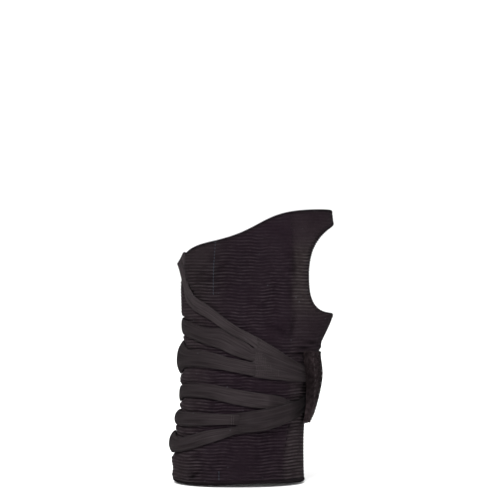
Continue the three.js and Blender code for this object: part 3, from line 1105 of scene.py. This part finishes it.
# %% Thread helpers
THREAD_SMOOTH = 80


def even_steps(girth, height, pitch):
    """Girths and heights at even steps along a line on the sleeve."""
    line = worn_point(girth, height, 0)
    run = np.concatenate([[0], np.cumsum(np.linalg.norm(np.diff(line, axis=0), axis=1))])
    count = max(2, round(run[-1] / pitch))
    stations = (np.arange(count) + 0.5) * run[-1] / count
    return np.interp(stations, run, girth), np.interp(stations, run, height)


def frames_at(girth, height, lift):
    """A row of places, each with its directions along the row, across it and out of the cloth."""
    out = unit(worn_point(girth, height, 1) - worn_point(girth, height, 0))
    across = unit(np.cross(out, np.gradient(worn_point(girth, height, 0), axis=0)))
    along = np.cross(across, out)
    return worn_point(girth, height, lift), np.stack([along, across, out], axis=1)


def model_thread(path, radius, sides_step=1):
    """One bent length of thread through a few points, in millimetres along, across and out."""
    deselect_all()
    bpy.ops.curve.primitive_nurbs_path_add()
    thread = bpy.context.object
    spline = thread.data.splines[0]
    if len(path) > len(spline.points):
        spline.points.add(len(path) - len(spline.points))
    for point, place in zip(spline.points, path):
        point.co = (*place, 1)
    spline.order_u = 3
    spline.use_endpoint_u = True
    spline.resolution_u = 1
    thread.data.bevel_depth = radius
    thread.data.bevel_resolution = sides_step
    thread.data.use_fill_caps = True
    bpy.ops.object.convert(target="MESH")
    return bpy.context.object


def sew(name, stitch, frames):
    """Copies a stitch, which is modelled in millimetres, to every frame and joins the copies."""
    places, axes = frames
    shape = corners(stitch) * MM
    faces = [tuple(face.vertices) for face in stitch.data.polygons]
    copies = places[:, None, :] + np.einsum("vk,nkx->nvx", shape, axes)
    all_faces = [tuple(i + n * len(shape) for i in face) for n in range(len(places)) for face in faces]
    mesh = bpy.data.meshes.new(name)
    mesh.from_pydata((copies.reshape(-1, 3) * MM).tolist(), [], all_faces)
    seam = bpy.data.objects.new(name, mesh)
    bpy.context.scene.collection.objects.link(seam)
    soften(seam, THREAD_SMOOTH)
    return seam


def turned(frames, degrees):
    """The same frames, each turned in the plane of the cloth by its own angle."""
    places, axes = frames
    angle = np.radians(np.broadcast_to(degrees, len(places)))[:, None]
    along = axes[:, 0] * np.cos(angle) + axes[:, 1] * np.sin(angle)
    across = axes[:, 1] * np.cos(angle) - axes[:, 0] * np.sin(angle)
    return places, np.stack([along, across, axes[:, 2]], axis=1)


print("thread helpers ready")

# %% [markdown]
# ## Overlocked edges
#
# The top edge, the thumb hole and the hem are bound by an overlock machine, which wraps thread over the
# raw edge. One wrap starts on the outer face, goes round the edge and ends on the inner face, half a
# stitch further on. The rows of wraps stand close together, so they read as a soft cord along the edge.

# %% Overlocked edges
WRAP_SIZES = {
    # pitch in mm, how many times the path's reach into the cloth
    "top_edge_overlock": (0.95, 1.0),
    "hem_overlock": (0.95, 1.0),
    "thumb_hole_overlock": (1.4, 1.5),
}
WRAP_RADIUS = 0.2
WRAP_PATH = [
    # along, into the cloth, out
    (-0.35, 1.7, -0.34), (-0.2, 1.0, -0.1), (-0.05, 0.3, -0.2), (0.05, -0.2, -0.6),
    (0.12, -0.26, -1.1), (0.2, 0.2, -1.75), (0.3, 0.9, -2.0), (0.45, 1.5, -2.1),
]


def hole_outline(points):
    turn = np.linspace(-math.pi, math.pi, points)
    side = np.cos(turn)
    rise = np.sin(turn)
    power = np.where(rise > 0, 2 / HOLE_SQUARE_ABOVE, 2 / HOLE_SQUARE_BELOW)
    reach = np.where(side > 0, THUMB_HOLE["palm"], THUMB_HOLE["back"])
    tall = np.where(rise > 0, THUMB_HOLE["above"], THUMB_HOLE["below"])
    girth = np.sign(side) * np.abs(side) ** power * reach
    height = THUMB_HOLE["middle"] + np.sign(rise) * np.abs(rise) ** power * tall
    return girth, height


OUTLINE_POINTS = 1441
fine_round = np.linspace(0, 360, OUTLINE_POINTS)
cut_edges = {
    "top_edge_overlock": (fine_round, top_height(fine_round)),
    "hem_overlock": (fine_round[::-1], hem_height(fine_round[::-1])),
    "thumb_hole_overlock": hole_outline(OUTLINE_POINTS),
}
overlocks = []
for name, (girth, height) in cut_edges.items():
    pitch, reach = WRAP_SIZES[name]
    path = [(along, into * reach, out) for along, into, out in WRAP_PATH]
    wrap_thread = model_thread(path, WRAP_RADIUS)
    overlocks.append(sew(name, wrap_thread, frames_at(*even_steps(girth, height, pitch), 0)))
    bpy.data.objects.remove(wrap_thread)
    print(name, len(overlocks[-1].data.polygons), "faces")

# %% [markdown]
# ## Seam stitches
#
# Two upright seams show on the palm side. The one beside the thumb hole is sewn in black and sinks into
# the cloth. The one towards the little finger side has pale thread, which comes to the surface near the
# two ends only. A stitch that would lie under a strip is left out. A third row fixes the tab's loop
# fabric behind its front edge.

# %% Seam stitches
STITCH_PATH = [(-0.5, 0, -0.25), (-0.35, 0, 0.04), (0, 0, 0.1), (0.35, 0, 0.04), (0.5, 0, -0.25)]
THUMB_ROW = {"pitch": 3.4, "long": 1.7, "radius": 0.3, "lift": 0.05}
PALM_ROW = {"pitch": RIB_PITCH, "long": 1.1, "radius": 0.24, "lift": 0.1}
HIDDEN = 0.9
LINE_STEPS = 400
PALE_LOW, PALE_HIGH = -49, 44.4
TAB_ROW = {"girth": 17, "pitch": 2.8, "long": 1.7, "radius": 0.2, "margin": 1.5}


def seam_frames(line, row, keep=np.isfinite):
    """Frames along a seam line, on the ribbed face of the cloth, at kept heights and clear of strips."""
    heights = np.linspace(line[0, 0], line[-1, 0], LINE_STEPS)
    girths = np.interp(heights, line[:, 0], line[:, 1])
    girth, height = even_steps(girths, heights, row["pitch"])
    places, axes = frames_at(girth, height, sleeve_relief(girth, height) + row["lift"])
    shown = keep(height) & (covered(girth, height) < HIDDEN)
    return places[shown], axes[shown]


def straight_stitch(long, radius):
    return model_thread([(x * long, y, z) for x, y, z in STITCH_PATH], radius)


dark_stitch = straight_stitch(THUMB_ROW["long"], THUMB_ROW["radius"])
pale_stitch = straight_stitch(PALM_ROW["long"], PALM_ROW["radius"])
thumb_seam = sew("thumb_seam_stitches", dark_stitch, seam_frames(THUMB_SEAM, THUMB_ROW))
palm_seam = sew("palm_seam_stitches", pale_stitch, seam_frames(
    PALM_SEAM, PALM_ROW, lambda height: (height < PALE_LOW) | (height > PALE_HIGH)
))
tab_low = float(read_curve(strips["closure_tab"], LOW, TAB_ROW["girth"]))
tab_wide = float(read_curve(strips["closure_tab"], HIGH, TAB_ROW["girth"])) - tab_low
tab_share = np.arange(TAB_ROW["margin"], tab_wide - TAB_ROW["margin"], TAB_ROW["pitch"]) / tab_wide
tab_frames = frames_on("closure_tab", np.full_like(tab_share, TAB_ROW["girth"]), tab_share)
tab_stitch = straight_stitch(TAB_ROW["long"], TAB_ROW["radius"])
tab_seam = sew("closure_tab_stitches", tab_stitch, turned(tab_frames, 90))
bpy.data.objects.remove(dark_stitch)
bpy.data.objects.remove(pale_stitch)
bpy.data.objects.remove(tab_stitch)
print("seams:", len(thumb_seam.data.polygons), "and", len(palm_seam.data.polygons), "faces")

# %% [markdown]
# ## Bar tacks
#
# The laces are fixed to the straps and to the anchor strip by tacks: patches of short stitches. Each row
# of the table is one patch on a strip, with the girths and the heights that it spans. The stitches stand
# upright on the straps' ends. On the anchor strip they are slanted, to and fro from row to row.

# %% Bar tacks
TACK_PITCH, TACK_ROWS = 1.35, 1.25
TACK_LONG, TACK_RADIUS = 1.2, 0.17
SLANTED, UPRIGHT = 45, 90
TACKS = [
    # strip, first girth, last girth, low, high, turn
    ("upper_gather", 75, 82, 10.6, 14.2, UPRIGHT),
    ("upper_gather", 70, 83, 6.8, 10.6, UPRIGHT),
    ("upper_gather", 64, 84, 4.2, 6.8, UPRIGHT),
    ("upper_gather", 56, 85, 1.4, 4.2, UPRIGHT),
    ("lace_5", 100.5, 103, -24.4, -19.6, UPRIGHT),
]
ANCHOR_TACK, TACK_MARGIN = (218, 224), 0.6
TACKS += [
    ("lace_anchor", *ANCHOR_TACK, rows[-1][LOW] + TACK_MARGIN, rows[-1][HIGH] - TACK_MARGIN, SLANTED)
    for rows in LACES.values()
]


def tack_frames(strip, first, last, low, high, turn):
    """Frames of the stitches that fill one patch, turned to and fro from row to row."""
    along = round(round_run(last - first) / TACK_PITCH) + 1
    levels = np.arange(low, high, TACK_ROWS)
    girth, height = (x.ravel() for x in np.meshgrid(np.linspace(first, last, along), levels))
    table = strips[strip]
    bottom = read_curve(table, LOW, girth)
    up = (height - bottom) / (read_curve(table, HIGH, girth) - bottom)
    to_and_fro = np.where(np.arange(len(levels)) % 2, turn, -turn)
    return turned(frames_on(strip, girth, up), np.repeat(to_and_fro, along))


tack_thread = straight_stitch(TACK_LONG, TACK_RADIUS)
tack_places, tack_axes = zip(*(tack_frames(*tack) for tack in TACKS))
tacks = sew("bar_tacks", tack_thread, (np.concatenate(tack_places), np.concatenate(tack_axes)))
bpy.data.objects.remove(tack_thread)
print("tacks:", len(TACKS), "with", len(tacks.data.polygons), "faces")

# %% [markdown]
# ## Loop pile
#
# The outer face of the tab is the soft half of a hook-and-loop fastening: a field of tiny thread loops.
# One loop is modelled with very few faces, and copies with seeded turns and leans stand all over the tab,
# clear of its row of stitches.

# %% Loop pile
LOOP_SPACING = 1.15
LOOP_RADIUS = 0.14
LOOP_PATH = [(-0.4, 0, -0.1), (-0.55, 0, 0.4), (0, 0.05, 0.8), (0.55, 0, 0.4), (0.4, 0, -0.1)]
PILE_EDGE = 0.008
SCATTER = 0.5
LOOP_LEAN = 0.3
ROW_CLEAR = 1.6
PILE_SEED = 11

random = np.random.default_rng(PILE_SEED)
rows = strips["closure_tab"]
tab_line = np.linspace(rows[0, GIRTH], rows[-1, GIRTH], LINE_POINTS)
along_count = round(path_length(worn_point(tab_line, 0, 0)) / LOOP_SPACING)
across_count = round(np.ptp(rows[:, (LOW, HIGH)]) / LOOP_SPACING)
share_along, share_up = (share.ravel() for share in np.meshgrid(
    np.linspace(0, 1, along_count), np.linspace(0, 1, across_count)
))
share_along = share_along + random.uniform(-SCATTER, SCATTER, share_along.shape) / along_count
share_up = share_up + random.uniform(-SCATTER, SCATTER, share_up.shape) / across_count
share_along = share_along.clip(PILE_EDGE, 1 - PILE_EDGE)
share_up = share_up.clip(PILE_EDGE, 1 - PILE_EDGE)
loop_girth = rows[0, GIRTH] + share_along * (rows[-1, GIRTH] - rows[0, GIRTH])
places, axes = frames_on("closure_tab", loop_girth, share_up)
out = unit(axes[:, 2] + random.normal(0, LOOP_LEAN, places.shape))
across = unit(np.cross(out, axes[:, 0]))
frames = (places, np.stack([np.cross(across, out), across, out], axis=1))
places, axes = turned(frames, random.uniform(0, 360, len(places)))
clear = np.abs(loop_girth - TAB_ROW["girth"]) > ROW_CLEAR
loop_thread = model_thread(LOOP_PATH, LOOP_RADIUS, sides_step=0)
pile = sew("closure_tab_pile", loop_thread, (places[clear], axes[clear]))
loop_tone = tab_tone(loop_girth[clear], share_up[clear])
mark(pile, "tone", np.repeat(loop_tone, len(loop_thread.data.vertices)))
bpy.data.objects.remove(loop_thread)
print("loop pile:", len(loop_tone), "loops,", len(pile.data.polygons), "faces")

# %% [markdown]
# ## Shared effects
#
# Mottle and weave are used by several cloths, and the ribs take many nodes, so each of the three is a
# shader node group with named inputs. Mottle varies the dye and strews lint. Weave makes crossing threads
# from the UV map, which is in millimetres. Ribs follows the same pitch as the modelled ribs. It gives
# their bright ridges and dark grooves, broken into dashes, and the fine knit on them.

# %% Node helpers
def link(tree, value, socket):
    if isinstance(value, bpy.types.NodeSocket):
        tree.links.new(value, socket)
    else:
        socket.default_value = value


def calc(tree, operation, *values):
    node = tree.nodes.new("ShaderNodeMath")
    node.operation = operation
    for value, socket in zip(values, node.inputs):
        link(tree, value, socket)
    return node.outputs["Value"]


def rescale(tree, value, low, high, to_low, to_high):
    node = tree.nodes.new("ShaderNodeMapRange")
    sockets = ("Value", "From Min", "From Max", "To Min", "To Max")
    for name, given in zip(sockets, (value, low, high, to_low, to_high)):
        link(tree, given, node.inputs[name])
    return node.outputs["Result"]


def noise(tree, vector, scale, detail=2.0):
    node = tree.nodes.new("ShaderNodeTexNoise")
    link(tree, vector, node.inputs["Vector"])
    link(tree, scale, node.inputs["Scale"])
    node.inputs["Detail"].default_value = detail
    return node.outputs["Fac"]


# A Mix node has sockets for every kind of value under the same names, so those for colours are numbered.
MIX_FIRST, MIX_SECOND, MIX_RESULT = 6, 7, 2


def mix_colour(tree, share, first, second):
    node = tree.nodes.new("ShaderNodeMix")
    node.data_type = "RGBA"
    link(tree, share, node.inputs["Factor"])
    link(tree, first, node.inputs[MIX_FIRST])
    link(tree, second, node.inputs[MIX_SECOND])
    return node.outputs[MIX_RESULT]


def new_group(name, inputs, outputs):
    group = bpy.data.node_groups.new(name, "ShaderNodeTree")
    for label, kind, default in inputs:
        socket = group.interface.new_socket(label, in_out="INPUT", socket_type=kind)
        if default is not None:
            socket.default_value = default
    for label in outputs:
        group.interface.new_socket(label, in_out="OUTPUT", socket_type="NodeSocketFloat")
    return group, group.nodes.new("NodeGroupInput").outputs, group.nodes.new("NodeGroupOutput").inputs


print("node helpers ready")

# %% [markdown]
# ### Mottle
#
# Dye takes unevenly, in broad patches and in specks, and lint settles on black cloth. Two noises make the
# tone. A few cells of a Voronoi pattern, picked by a third noise, make the lint.

# %% Mottle group
FINE_TIMES = 14.0
PATCH_SHARE, FINE_SHARE = 0.6, 0.4
LINT_PICK_SCALE, LINT_PICK = 130.0, 0.6

mottle_group, given, result = new_group(
    "mottle",
    [
        ("Vector", "NodeSocketVector", None),
        ("Patch Scale", "NodeSocketFloat", 60.0),
        ("Lint Scale", "NodeSocketFloat", 220.0),
    ],
    ["Tone", "Lint"],
)
patches = noise(mottle_group, given["Vector"], given["Patch Scale"], detail=3.0)
fine_scale = calc(mottle_group, "MULTIPLY", given["Patch Scale"], FINE_TIMES)
fine = noise(mottle_group, given["Vector"], fine_scale)
broad = calc(mottle_group, "MULTIPLY", patches, PATCH_SHARE)
tone = calc(mottle_group, "ADD", broad, calc(mottle_group, "MULTIPLY", fine, FINE_SHARE))
link(mottle_group, rescale(mottle_group, tone, 0.3, 0.7, 0.0, 1.0), result["Tone"])
specks = mottle_group.nodes.new("ShaderNodeTexVoronoi")
link(mottle_group, given["Vector"], specks.inputs["Vector"])
link(mottle_group, given["Lint Scale"], specks.inputs["Scale"])
near = rescale(mottle_group, specks.outputs["Distance"], 0.05, 0.12, 1.0, 0.0)
picker = noise(mottle_group, given["Vector"], LINT_PICK_SCALE, detail=0.0)
chosen = calc(mottle_group, "GREATER_THAN", picker, LINT_PICK)
link(mottle_group, calc(mottle_group, "MULTIPLY", near, chosen), result["Lint"])
print("mottle group:", len(mottle_group.nodes), "nodes")

# %% [markdown]
# ### Weave
#
# In a tape, threads along it and across it pass over each other by turns. Two sine waves of the UV map
# make the crossings, and a noise drawn out lengthwise makes the streaks of single threads.

# %% Weave group
OVER_SHARE = 0.4
STREAK_SCALE = 0.7

weave_group, given, result = new_group(
    "weave",
    [
        ("UV", "NodeSocketVector", None),
        ("Along Pitch", "NodeSocketFloat", 0.6),
        ("Across Pitch", "NodeSocketFloat", 0.5),
        ("Streak Long", "NodeSocketFloat", 12.0),
    ],
    ["Height", "Shade", "Streak"],
)
flat = weave_group.nodes.new("ShaderNodeSeparateXYZ")
link(weave_group, given["UV"], flat.inputs["Vector"])
along = calc(weave_group, "DIVIDE", flat.outputs["X"], given["Along Pitch"])
across = calc(weave_group, "DIVIDE", flat.outputs["Y"], given["Across Pitch"])
along_wave = calc(weave_group, "SINE", calc(weave_group, "MULTIPLY", along, math.pi))
across_wave = calc(weave_group, "SINE", calc(weave_group, "MULTIPLY", across, math.pi))
threads = calc(weave_group, "ABSOLUTE", across_wave)
crossing = calc(weave_group, "MULTIPLY", along_wave, across_wave)
over = rescale(weave_group, crossing, -1.0, 1.0, 0.0, OVER_SHARE)
woven = calc(weave_group, "MULTIPLY_ADD", threads, 1 - OVER_SHARE, over)
link(weave_group, woven, result["Height"])
link(weave_group, rescale(weave_group, woven, 0.1, 0.9, 0.0, 1.0), result["Shade"])
lengthwise = weave_group.nodes.new("ShaderNodeCombineXYZ")
drawn_out = calc(weave_group, "DIVIDE", flat.outputs["X"], given["Streak Long"])
link(weave_group, drawn_out, lengthwise.inputs["X"])
link(weave_group, across, lengthwise.inputs["Y"])
streak = noise(weave_group, lengthwise.outputs["Vector"], STREAK_SCALE, detail=1.0)
link(weave_group, rescale(weave_group, streak, 0.3, 0.7, 0.0, 1.0), result["Streak"])
print("weave group:", len(weave_group.nodes), "nodes")

# %% [markdown]
# ### Ribs
#
# The pitch and the start are those of the modelled ribs, so colour and form agree. Each ridge is broken
# into dashes and each groove is uneven, because the knit is stretched more in some places.

# %% Rib group
RIDGE_SPAN, GROOVE_SPAN = (0.06, 0.32), (0.26, 0.42)
NEXT_RIB = 0.61
KNIT_DEEP = 0.5

rib_group, given, result = new_group(
    "ribs",
    [
        ("UV", "NodeSocketVector", None),
        ("Pitch", "NodeSocketFloat", RIB_PITCH),
        ("Start", "NodeSocketFloat", hem_low),
        ("Stitch", "NodeSocketFloat", 0.85),
        ("Dash", "NodeSocketFloat", 4.5),
    ],
    ["Height", "Ridge", "Groove"],
)
flat = rib_group.nodes.new("ShaderNodeSeparateXYZ")
link(rib_group, given["UV"], flat.inputs["Vector"])
up = calc(rib_group, "SUBTRACT", flat.outputs["Y"], given["Start"])
from_ridge = calc(rib_group, "PINGPONG", calc(rib_group, "DIVIDE", up, given["Pitch"]), 0.5)
ridge = rescale(rib_group, from_ridge, *RIDGE_SPAN, 1.0, 0.0)
number = calc(rib_group, "ROUND", calc(rib_group, "DIVIDE", up, given["Pitch"]))
dash = rib_group.nodes.new("ShaderNodeCombineXYZ")
link(rib_group, calc(rib_group, "DIVIDE", flat.outputs["X"], given["Dash"]), dash.inputs["X"])
link(rib_group, calc(rib_group, "MULTIPLY", number, NEXT_RIB), dash.inputs["Y"])
dashes = noise(rib_group, dash.outputs["Vector"], 1.0, detail=3.0)
bright = rescale(rib_group, dashes, 0.36, 0.66, 0.0, 1.1)
link(rib_group, calc(rib_group, "MULTIPLY", ridge, bright), result["Ridge"])
groove = rescale(rib_group, from_ridge, *GROOVE_SPAN, 0.0, 1.0)
uneven = noise(rib_group, dash.outputs["Vector"], 1.7)
sunken = rescale(rib_group, uneven, 0.3, 0.7, 0.2, 1.0)
link(rib_group, calc(rib_group, "MULTIPLY", groove, sunken), result["Groove"])
column = calc(rib_group, "ADD", calc(rib_group, "DIVIDE", flat.outputs["X"], given["Stitch"]), from_ridge)
loops = calc(rib_group, "ABSOLUTE", calc(rib_group, "SINE", calc(rib_group, "MULTIPLY", column, math.pi)))
link(rib_group, calc(rib_group, "MULTIPLY_ADD", loops, KNIT_DEEP, ridge), result["Height"])
print("rib group:", len(rib_group.nodes), "nodes")

# %% [markdown]
# ## Cloth materials
#
# Black cloth is never one black. Ridges catch light, grooves swallow it, dye varies in patches and lint
# sits on top. Each material mixes a deep and a raised colour by its own effect, then adds the lint. Sheen
# is a constant on the shader, for the soft glow of fibres at a glancing angle.

# %% Material helpers
SPECULAR = 0.0
SHEEN = 0.012
FADE_SHARE = 0.22
ROUGH_DULL, ROUGH_WORN = 0.98, 0.84
LINT_COLOUR = (0.05, 0.05, 0.058, 1)


def new_material(name, sheen_rough):
    material = bpy.data.materials.new(name)
    material.use_nodes = True
    tree = material.node_tree
    shader = tree.nodes["Principled BSDF"]
    shader.inputs["Sheen Weight"].default_value = SHEEN
    shader.inputs["Sheen Roughness"].default_value = sheen_rough
    shader.inputs["Specular IOR Level"].default_value = SPECULAR
    coordinates = tree.nodes.new("ShaderNodeTexCoord").outputs
    return material, tree, shader, coordinates


def place_group(tree, group, **values):
    node = tree.nodes.new("ShaderNodeGroup")
    node.node_tree = group
    for label, value in values.items():
        link(tree, value, node.inputs[label.replace("_", " ")])
    return node.outputs


def bump(tree, shader, height, distance, strength):
    node = tree.nodes.new("ShaderNodeBump")
    link(tree, height, node.inputs["Height"])
    node.inputs["Distance"].default_value = distance * MM
    node.inputs["Strength"].default_value = strength
    tree.links.new(node.outputs["Normal"], shader.inputs["Normal"])


def read_mark(tree, name):
    node = tree.nodes.new("ShaderNodeAttribute")
    node.attribute_name = name
    return node.outputs["Fac"]


def dim(tree, colour, tone):
    node = tree.nodes.new("ShaderNodeVectorMath")
    node.operation = "SCALE"
    link(tree, colour, node.inputs["Vector"])
    link(tree, tone, node.inputs["Scale"])
    return node.outputs["Vector"]


def colour_cloth(tree, shader, deep, raised, share, mottle, lint, tone=1.0):
    """Mixes the deep and raised colours by share, fades them by the mottle and adds lint."""
    dyed = mix_colour(tree, share, deep, raised)
    faded = mix_colour(tree, calc(tree, "MULTIPLY", mottle["Tone"], FADE_SHARE), dyed, raised)
    specks = calc(tree, "MULTIPLY", mottle["Lint"], lint)
    final = mix_colour(tree, specks, dim(tree, faded, tone), LINT_COLOUR)
    tree.links.new(final, shader.inputs["Base Color"])
    worn = rescale(tree, mottle["Tone"], 0.0, 1.0, ROUGH_DULL, ROUGH_WORN)
    tree.links.new(worn, shader.inputs["Roughness"])


print("material helpers ready")

# %% [markdown]
# ### Ribbed elastic
#
# The ridges of the ribs take the raised colour and the grooves are shaded, as strongly as the ribs show
# in the form. The grey attribute chooses between the purple-black dye and the grey one.

# %% Ribbed elastic
GROOVE_SHADE = 0.75
MIDDLE_DEEP, MIDDLE_RAISED = (0.0069, 0.0042, 0.0062, 1), (0.0284, 0.0221, 0.0256, 1)
PANEL_DEEP, PANEL_RAISED = (0.0127, 0.0097, 0.0100, 1), (0.0512, 0.0437, 0.0446, 1)

elastic, tree, shader, coordinates = new_material("ribbed_elastic", sheen_rough=0.45)
mottle = place_group(tree, mottle_group, Vector=coordinates["Object"])
ribs = place_group(tree, rib_group, UV=coordinates["UV"])
grey = read_mark(tree, "grey")
ribbing_shown = read_mark(tree, "ribbing")
deep = mix_colour(tree, grey, MIDDLE_DEEP, PANEL_DEEP)
raised = mix_colour(tree, grey, MIDDLE_RAISED, PANEL_RAISED)
showing = calc(tree, "MULTIPLY", ribs["Ridge"], ribbing_shown)
sunken = calc(tree, "MULTIPLY", ribs["Groove"], ribbing_shown)
groove_shade = calc(tree, "MULTIPLY", sunken, -GROOVE_SHADE)
# The tone attribute brings the painted shade of the thumb seam and the creases.
tone = calc(tree, "MULTIPLY", calc(tree, "ADD", groove_shade, 1.0), read_mark(tree, "tone"))
colour_cloth(tree, shader, deep, raised, showing, mottle, lint=0.4, tone=tone)
bump(tree, shader, ribs["Height"], distance=0.15, strength=0.6)
print(elastic.name, "has", len(tree.nodes), "nodes")

# %% [markdown]
# ### Lace tape
#
# The laces and the straps are woven of the same stuff. The streaks of single threads show more than the
# crossings do, because the tape is seen from a distance.

# %% Lace tape
SHADE_SHARE, STREAK_SHARE = 0.4, 0.6
TAPE_DEEP, TAPE_RAISED = (0.0063, 0.0049, 0.0054, 1), (0.0260, 0.0215, 0.0228, 1)

tape_cloth, tree, shader, coordinates = new_material("lace_tape", sheen_rough=0.5)
mottle = place_group(tree, mottle_group, Vector=coordinates["Object"], Patch_Scale=90.0)
weave = place_group(tree, weave_group, UV=coordinates["UV"], Along_Pitch=0.7, Across_Pitch=0.55)
streaks = calc(tree, "MULTIPLY", weave["Streak"], STREAK_SHARE)
threads = calc(tree, "MULTIPLY_ADD", weave["Shade"], SHADE_SHARE, streaks)
# The tone attribute brings painted shade where laces turn round the little finger side and where tape runs
# under a strap or the tab.
tone = read_mark(tree, "tone")
colour_cloth(tree, shader, TAPE_DEEP, TAPE_RAISED, threads, mottle, lint=0.3, tone=tone)
bump(tree, shader, weave["Height"], distance=0.1, strength=0.5)
print(tape_cloth.name, "has", len(tree.nodes), "nodes")

# %% [markdown]
# ### Loop fabric
#
# The tab's fabric and its loops share one material. Two noises mix its colours: fine fuzz, and blotches
# where the loops are matted together.

# %% Loop fabric
FUZZ_SCALE, FUZZ_SHARE = 1400.0, 0.4
BLOTCH_SCALE, BLOTCH_SHARE = 420.0, 0.6
LOOP_DEEP, LOOP_RAISED = (0.0024, 0.0015, 0.0017, 1), (0.0170, 0.0124, 0.0133, 1)

loop_cloth, tree, shader, coordinates = new_material("loop_fabric", sheen_rough=0.5)
mottle = place_group(tree, mottle_group, Vector=coordinates["Object"], Patch_Scale=120.0)
fuzz = noise(tree, coordinates["Object"], FUZZ_SCALE, detail=3.0)
blotch = rescale(tree, noise(tree, coordinates["Object"], BLOTCH_SCALE), 0.36, 0.64, 0.0, 1.0)
matted = calc(tree, "MULTIPLY_ADD", fuzz, FUZZ_SHARE, calc(tree, "MULTIPLY", blotch, BLOTCH_SHARE))
tone = read_mark(tree, "tone")
colour_cloth(tree, shader, LOOP_DEEP, LOOP_RAISED, matted, mottle, lint=0.4, tone=tone)
bump(tree, shader, fuzz, distance=0.3, strength=0.7)
print(loop_cloth.name, "has", len(tree.nodes), "nodes")

# %% [markdown]
# ### Anchor tape
#
# The anchor strip is a plain, coarser and duller tape, so its weave has no streaks.

# %% Anchor tape
ANCHOR_DEEP, ANCHOR_RAISED = (0.0054, 0.0043, 0.0049, 1), (0.0163, 0.0132, 0.0146, 1)

anchor_cloth, tree, shader, coordinates = new_material("anchor_tape", sheen_rough=0.5)
mottle = place_group(tree, mottle_group, Vector=coordinates["Object"], Patch_Scale=80.0)
weave = place_group(tree, weave_group, UV=coordinates["UV"], Along_Pitch=0.9, Across_Pitch=0.9)
colour_cloth(tree, shader, ANCHOR_DEEP, ANCHOR_RAISED, weave["Shade"], mottle, lint=0.4)
bump(tree, shader, weave["Height"], distance=0.12, strength=0.5)
print(anchor_cloth.name, "has", len(tree.nodes), "nodes")

# %% [markdown]
# ## Thread and paper materials
#
# Most thread is the same black as the cloth it holds, with a twist of lighter fibres. That of the palm
# seam is paler and bluer. The studio sweep is plain pale paper with a faint grain.

# %% Thread and paper materials
TWIST_SCALE, GRAIN_SCALE = 2600.0, 3.0
PAPER_SHADE, PAPER_LIGHT = (0.93, 0.93, 0.93, 1), (0.95, 0.95, 0.95, 1)


def thread_material(name, deep, raised):
    material, tree, shader, coordinates = new_material(name, sheen_rough=0.4)
    mottle = place_group(tree, mottle_group, Vector=coordinates["Object"], Patch_Scale=150.0)
    twist = noise(tree, coordinates["Object"], TWIST_SCALE, detail=1.0)
    colour_cloth(tree, shader, deep, raised, twist, mottle, lint=0.2)
    return material


black_thread = thread_material("black_thread", (0.0029, 0.0022, 0.0027, 1), (0.0112, 0.0092, 0.0105, 1))
tape_thread = thread_material("tape_thread", (0.0160, 0.0130, 0.0139, 1), (0.0390, 0.0322, 0.0340, 1))
pale_thread = thread_material("pale_thread", (0.014, 0.0165, 0.021, 1), (0.033, 0.038, 0.047, 1))

paper, tree, shader, coordinates = new_material("studio_paper", sheen_rough=0.5)
grain = noise(tree, coordinates["Object"], GRAIN_SCALE)
pale = mix_colour(tree, grain, PAPER_SHADE, PAPER_LIGHT)
tree.links.new(pale, shader.inputs["Base Color"])
studio.data.materials.append(paper)
print("thread and paper ready")

# %% [markdown]
# ## Dress the frame
#
# Every piece gets its material and rides on the part's one body. A piece that stands for a CAD node hides
# that node. Elastic is cut smaller than the form it covers.

# %% Dress the frame
def dress(piece, material, slot, *nodes):
    piece.data.materials.clear()
    piece.data.materials.append(material)
    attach(piece, "root")
    if nodes:
        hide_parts(*nodes)


dress(sleeve, elastic, "ribbed_elastic", "sleeve")
for tape, node in laces + straps:
    dress(tape, tape_cloth, "lace_tape", node)
dress(tab, loop_cloth, "tab_fabric", "closure_tab")
dress(pile, loop_cloth, "tab_fabric")
dress(anchor, anchor_cloth, "anchor_tape", "lace_anchor")
for edge in overlocks:
    dress(edge, black_thread, "ribbed_elastic")
dress(thumb_seam, black_thread, "ribbed_elastic")
dress(palm_seam, pale_thread, "ribbed_elastic")
dress(tacks, tape_thread, "lace_tape")
dress(tab_seam, tape_thread, "tab_fabric")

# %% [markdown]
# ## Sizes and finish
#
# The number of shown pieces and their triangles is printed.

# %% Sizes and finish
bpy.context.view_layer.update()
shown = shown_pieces()
triangles = sum(len(face.vertices) - 2 for piece in shown for face in piece.data.polygons)
print("pieces:", len(shown), "triangles:", triangles)
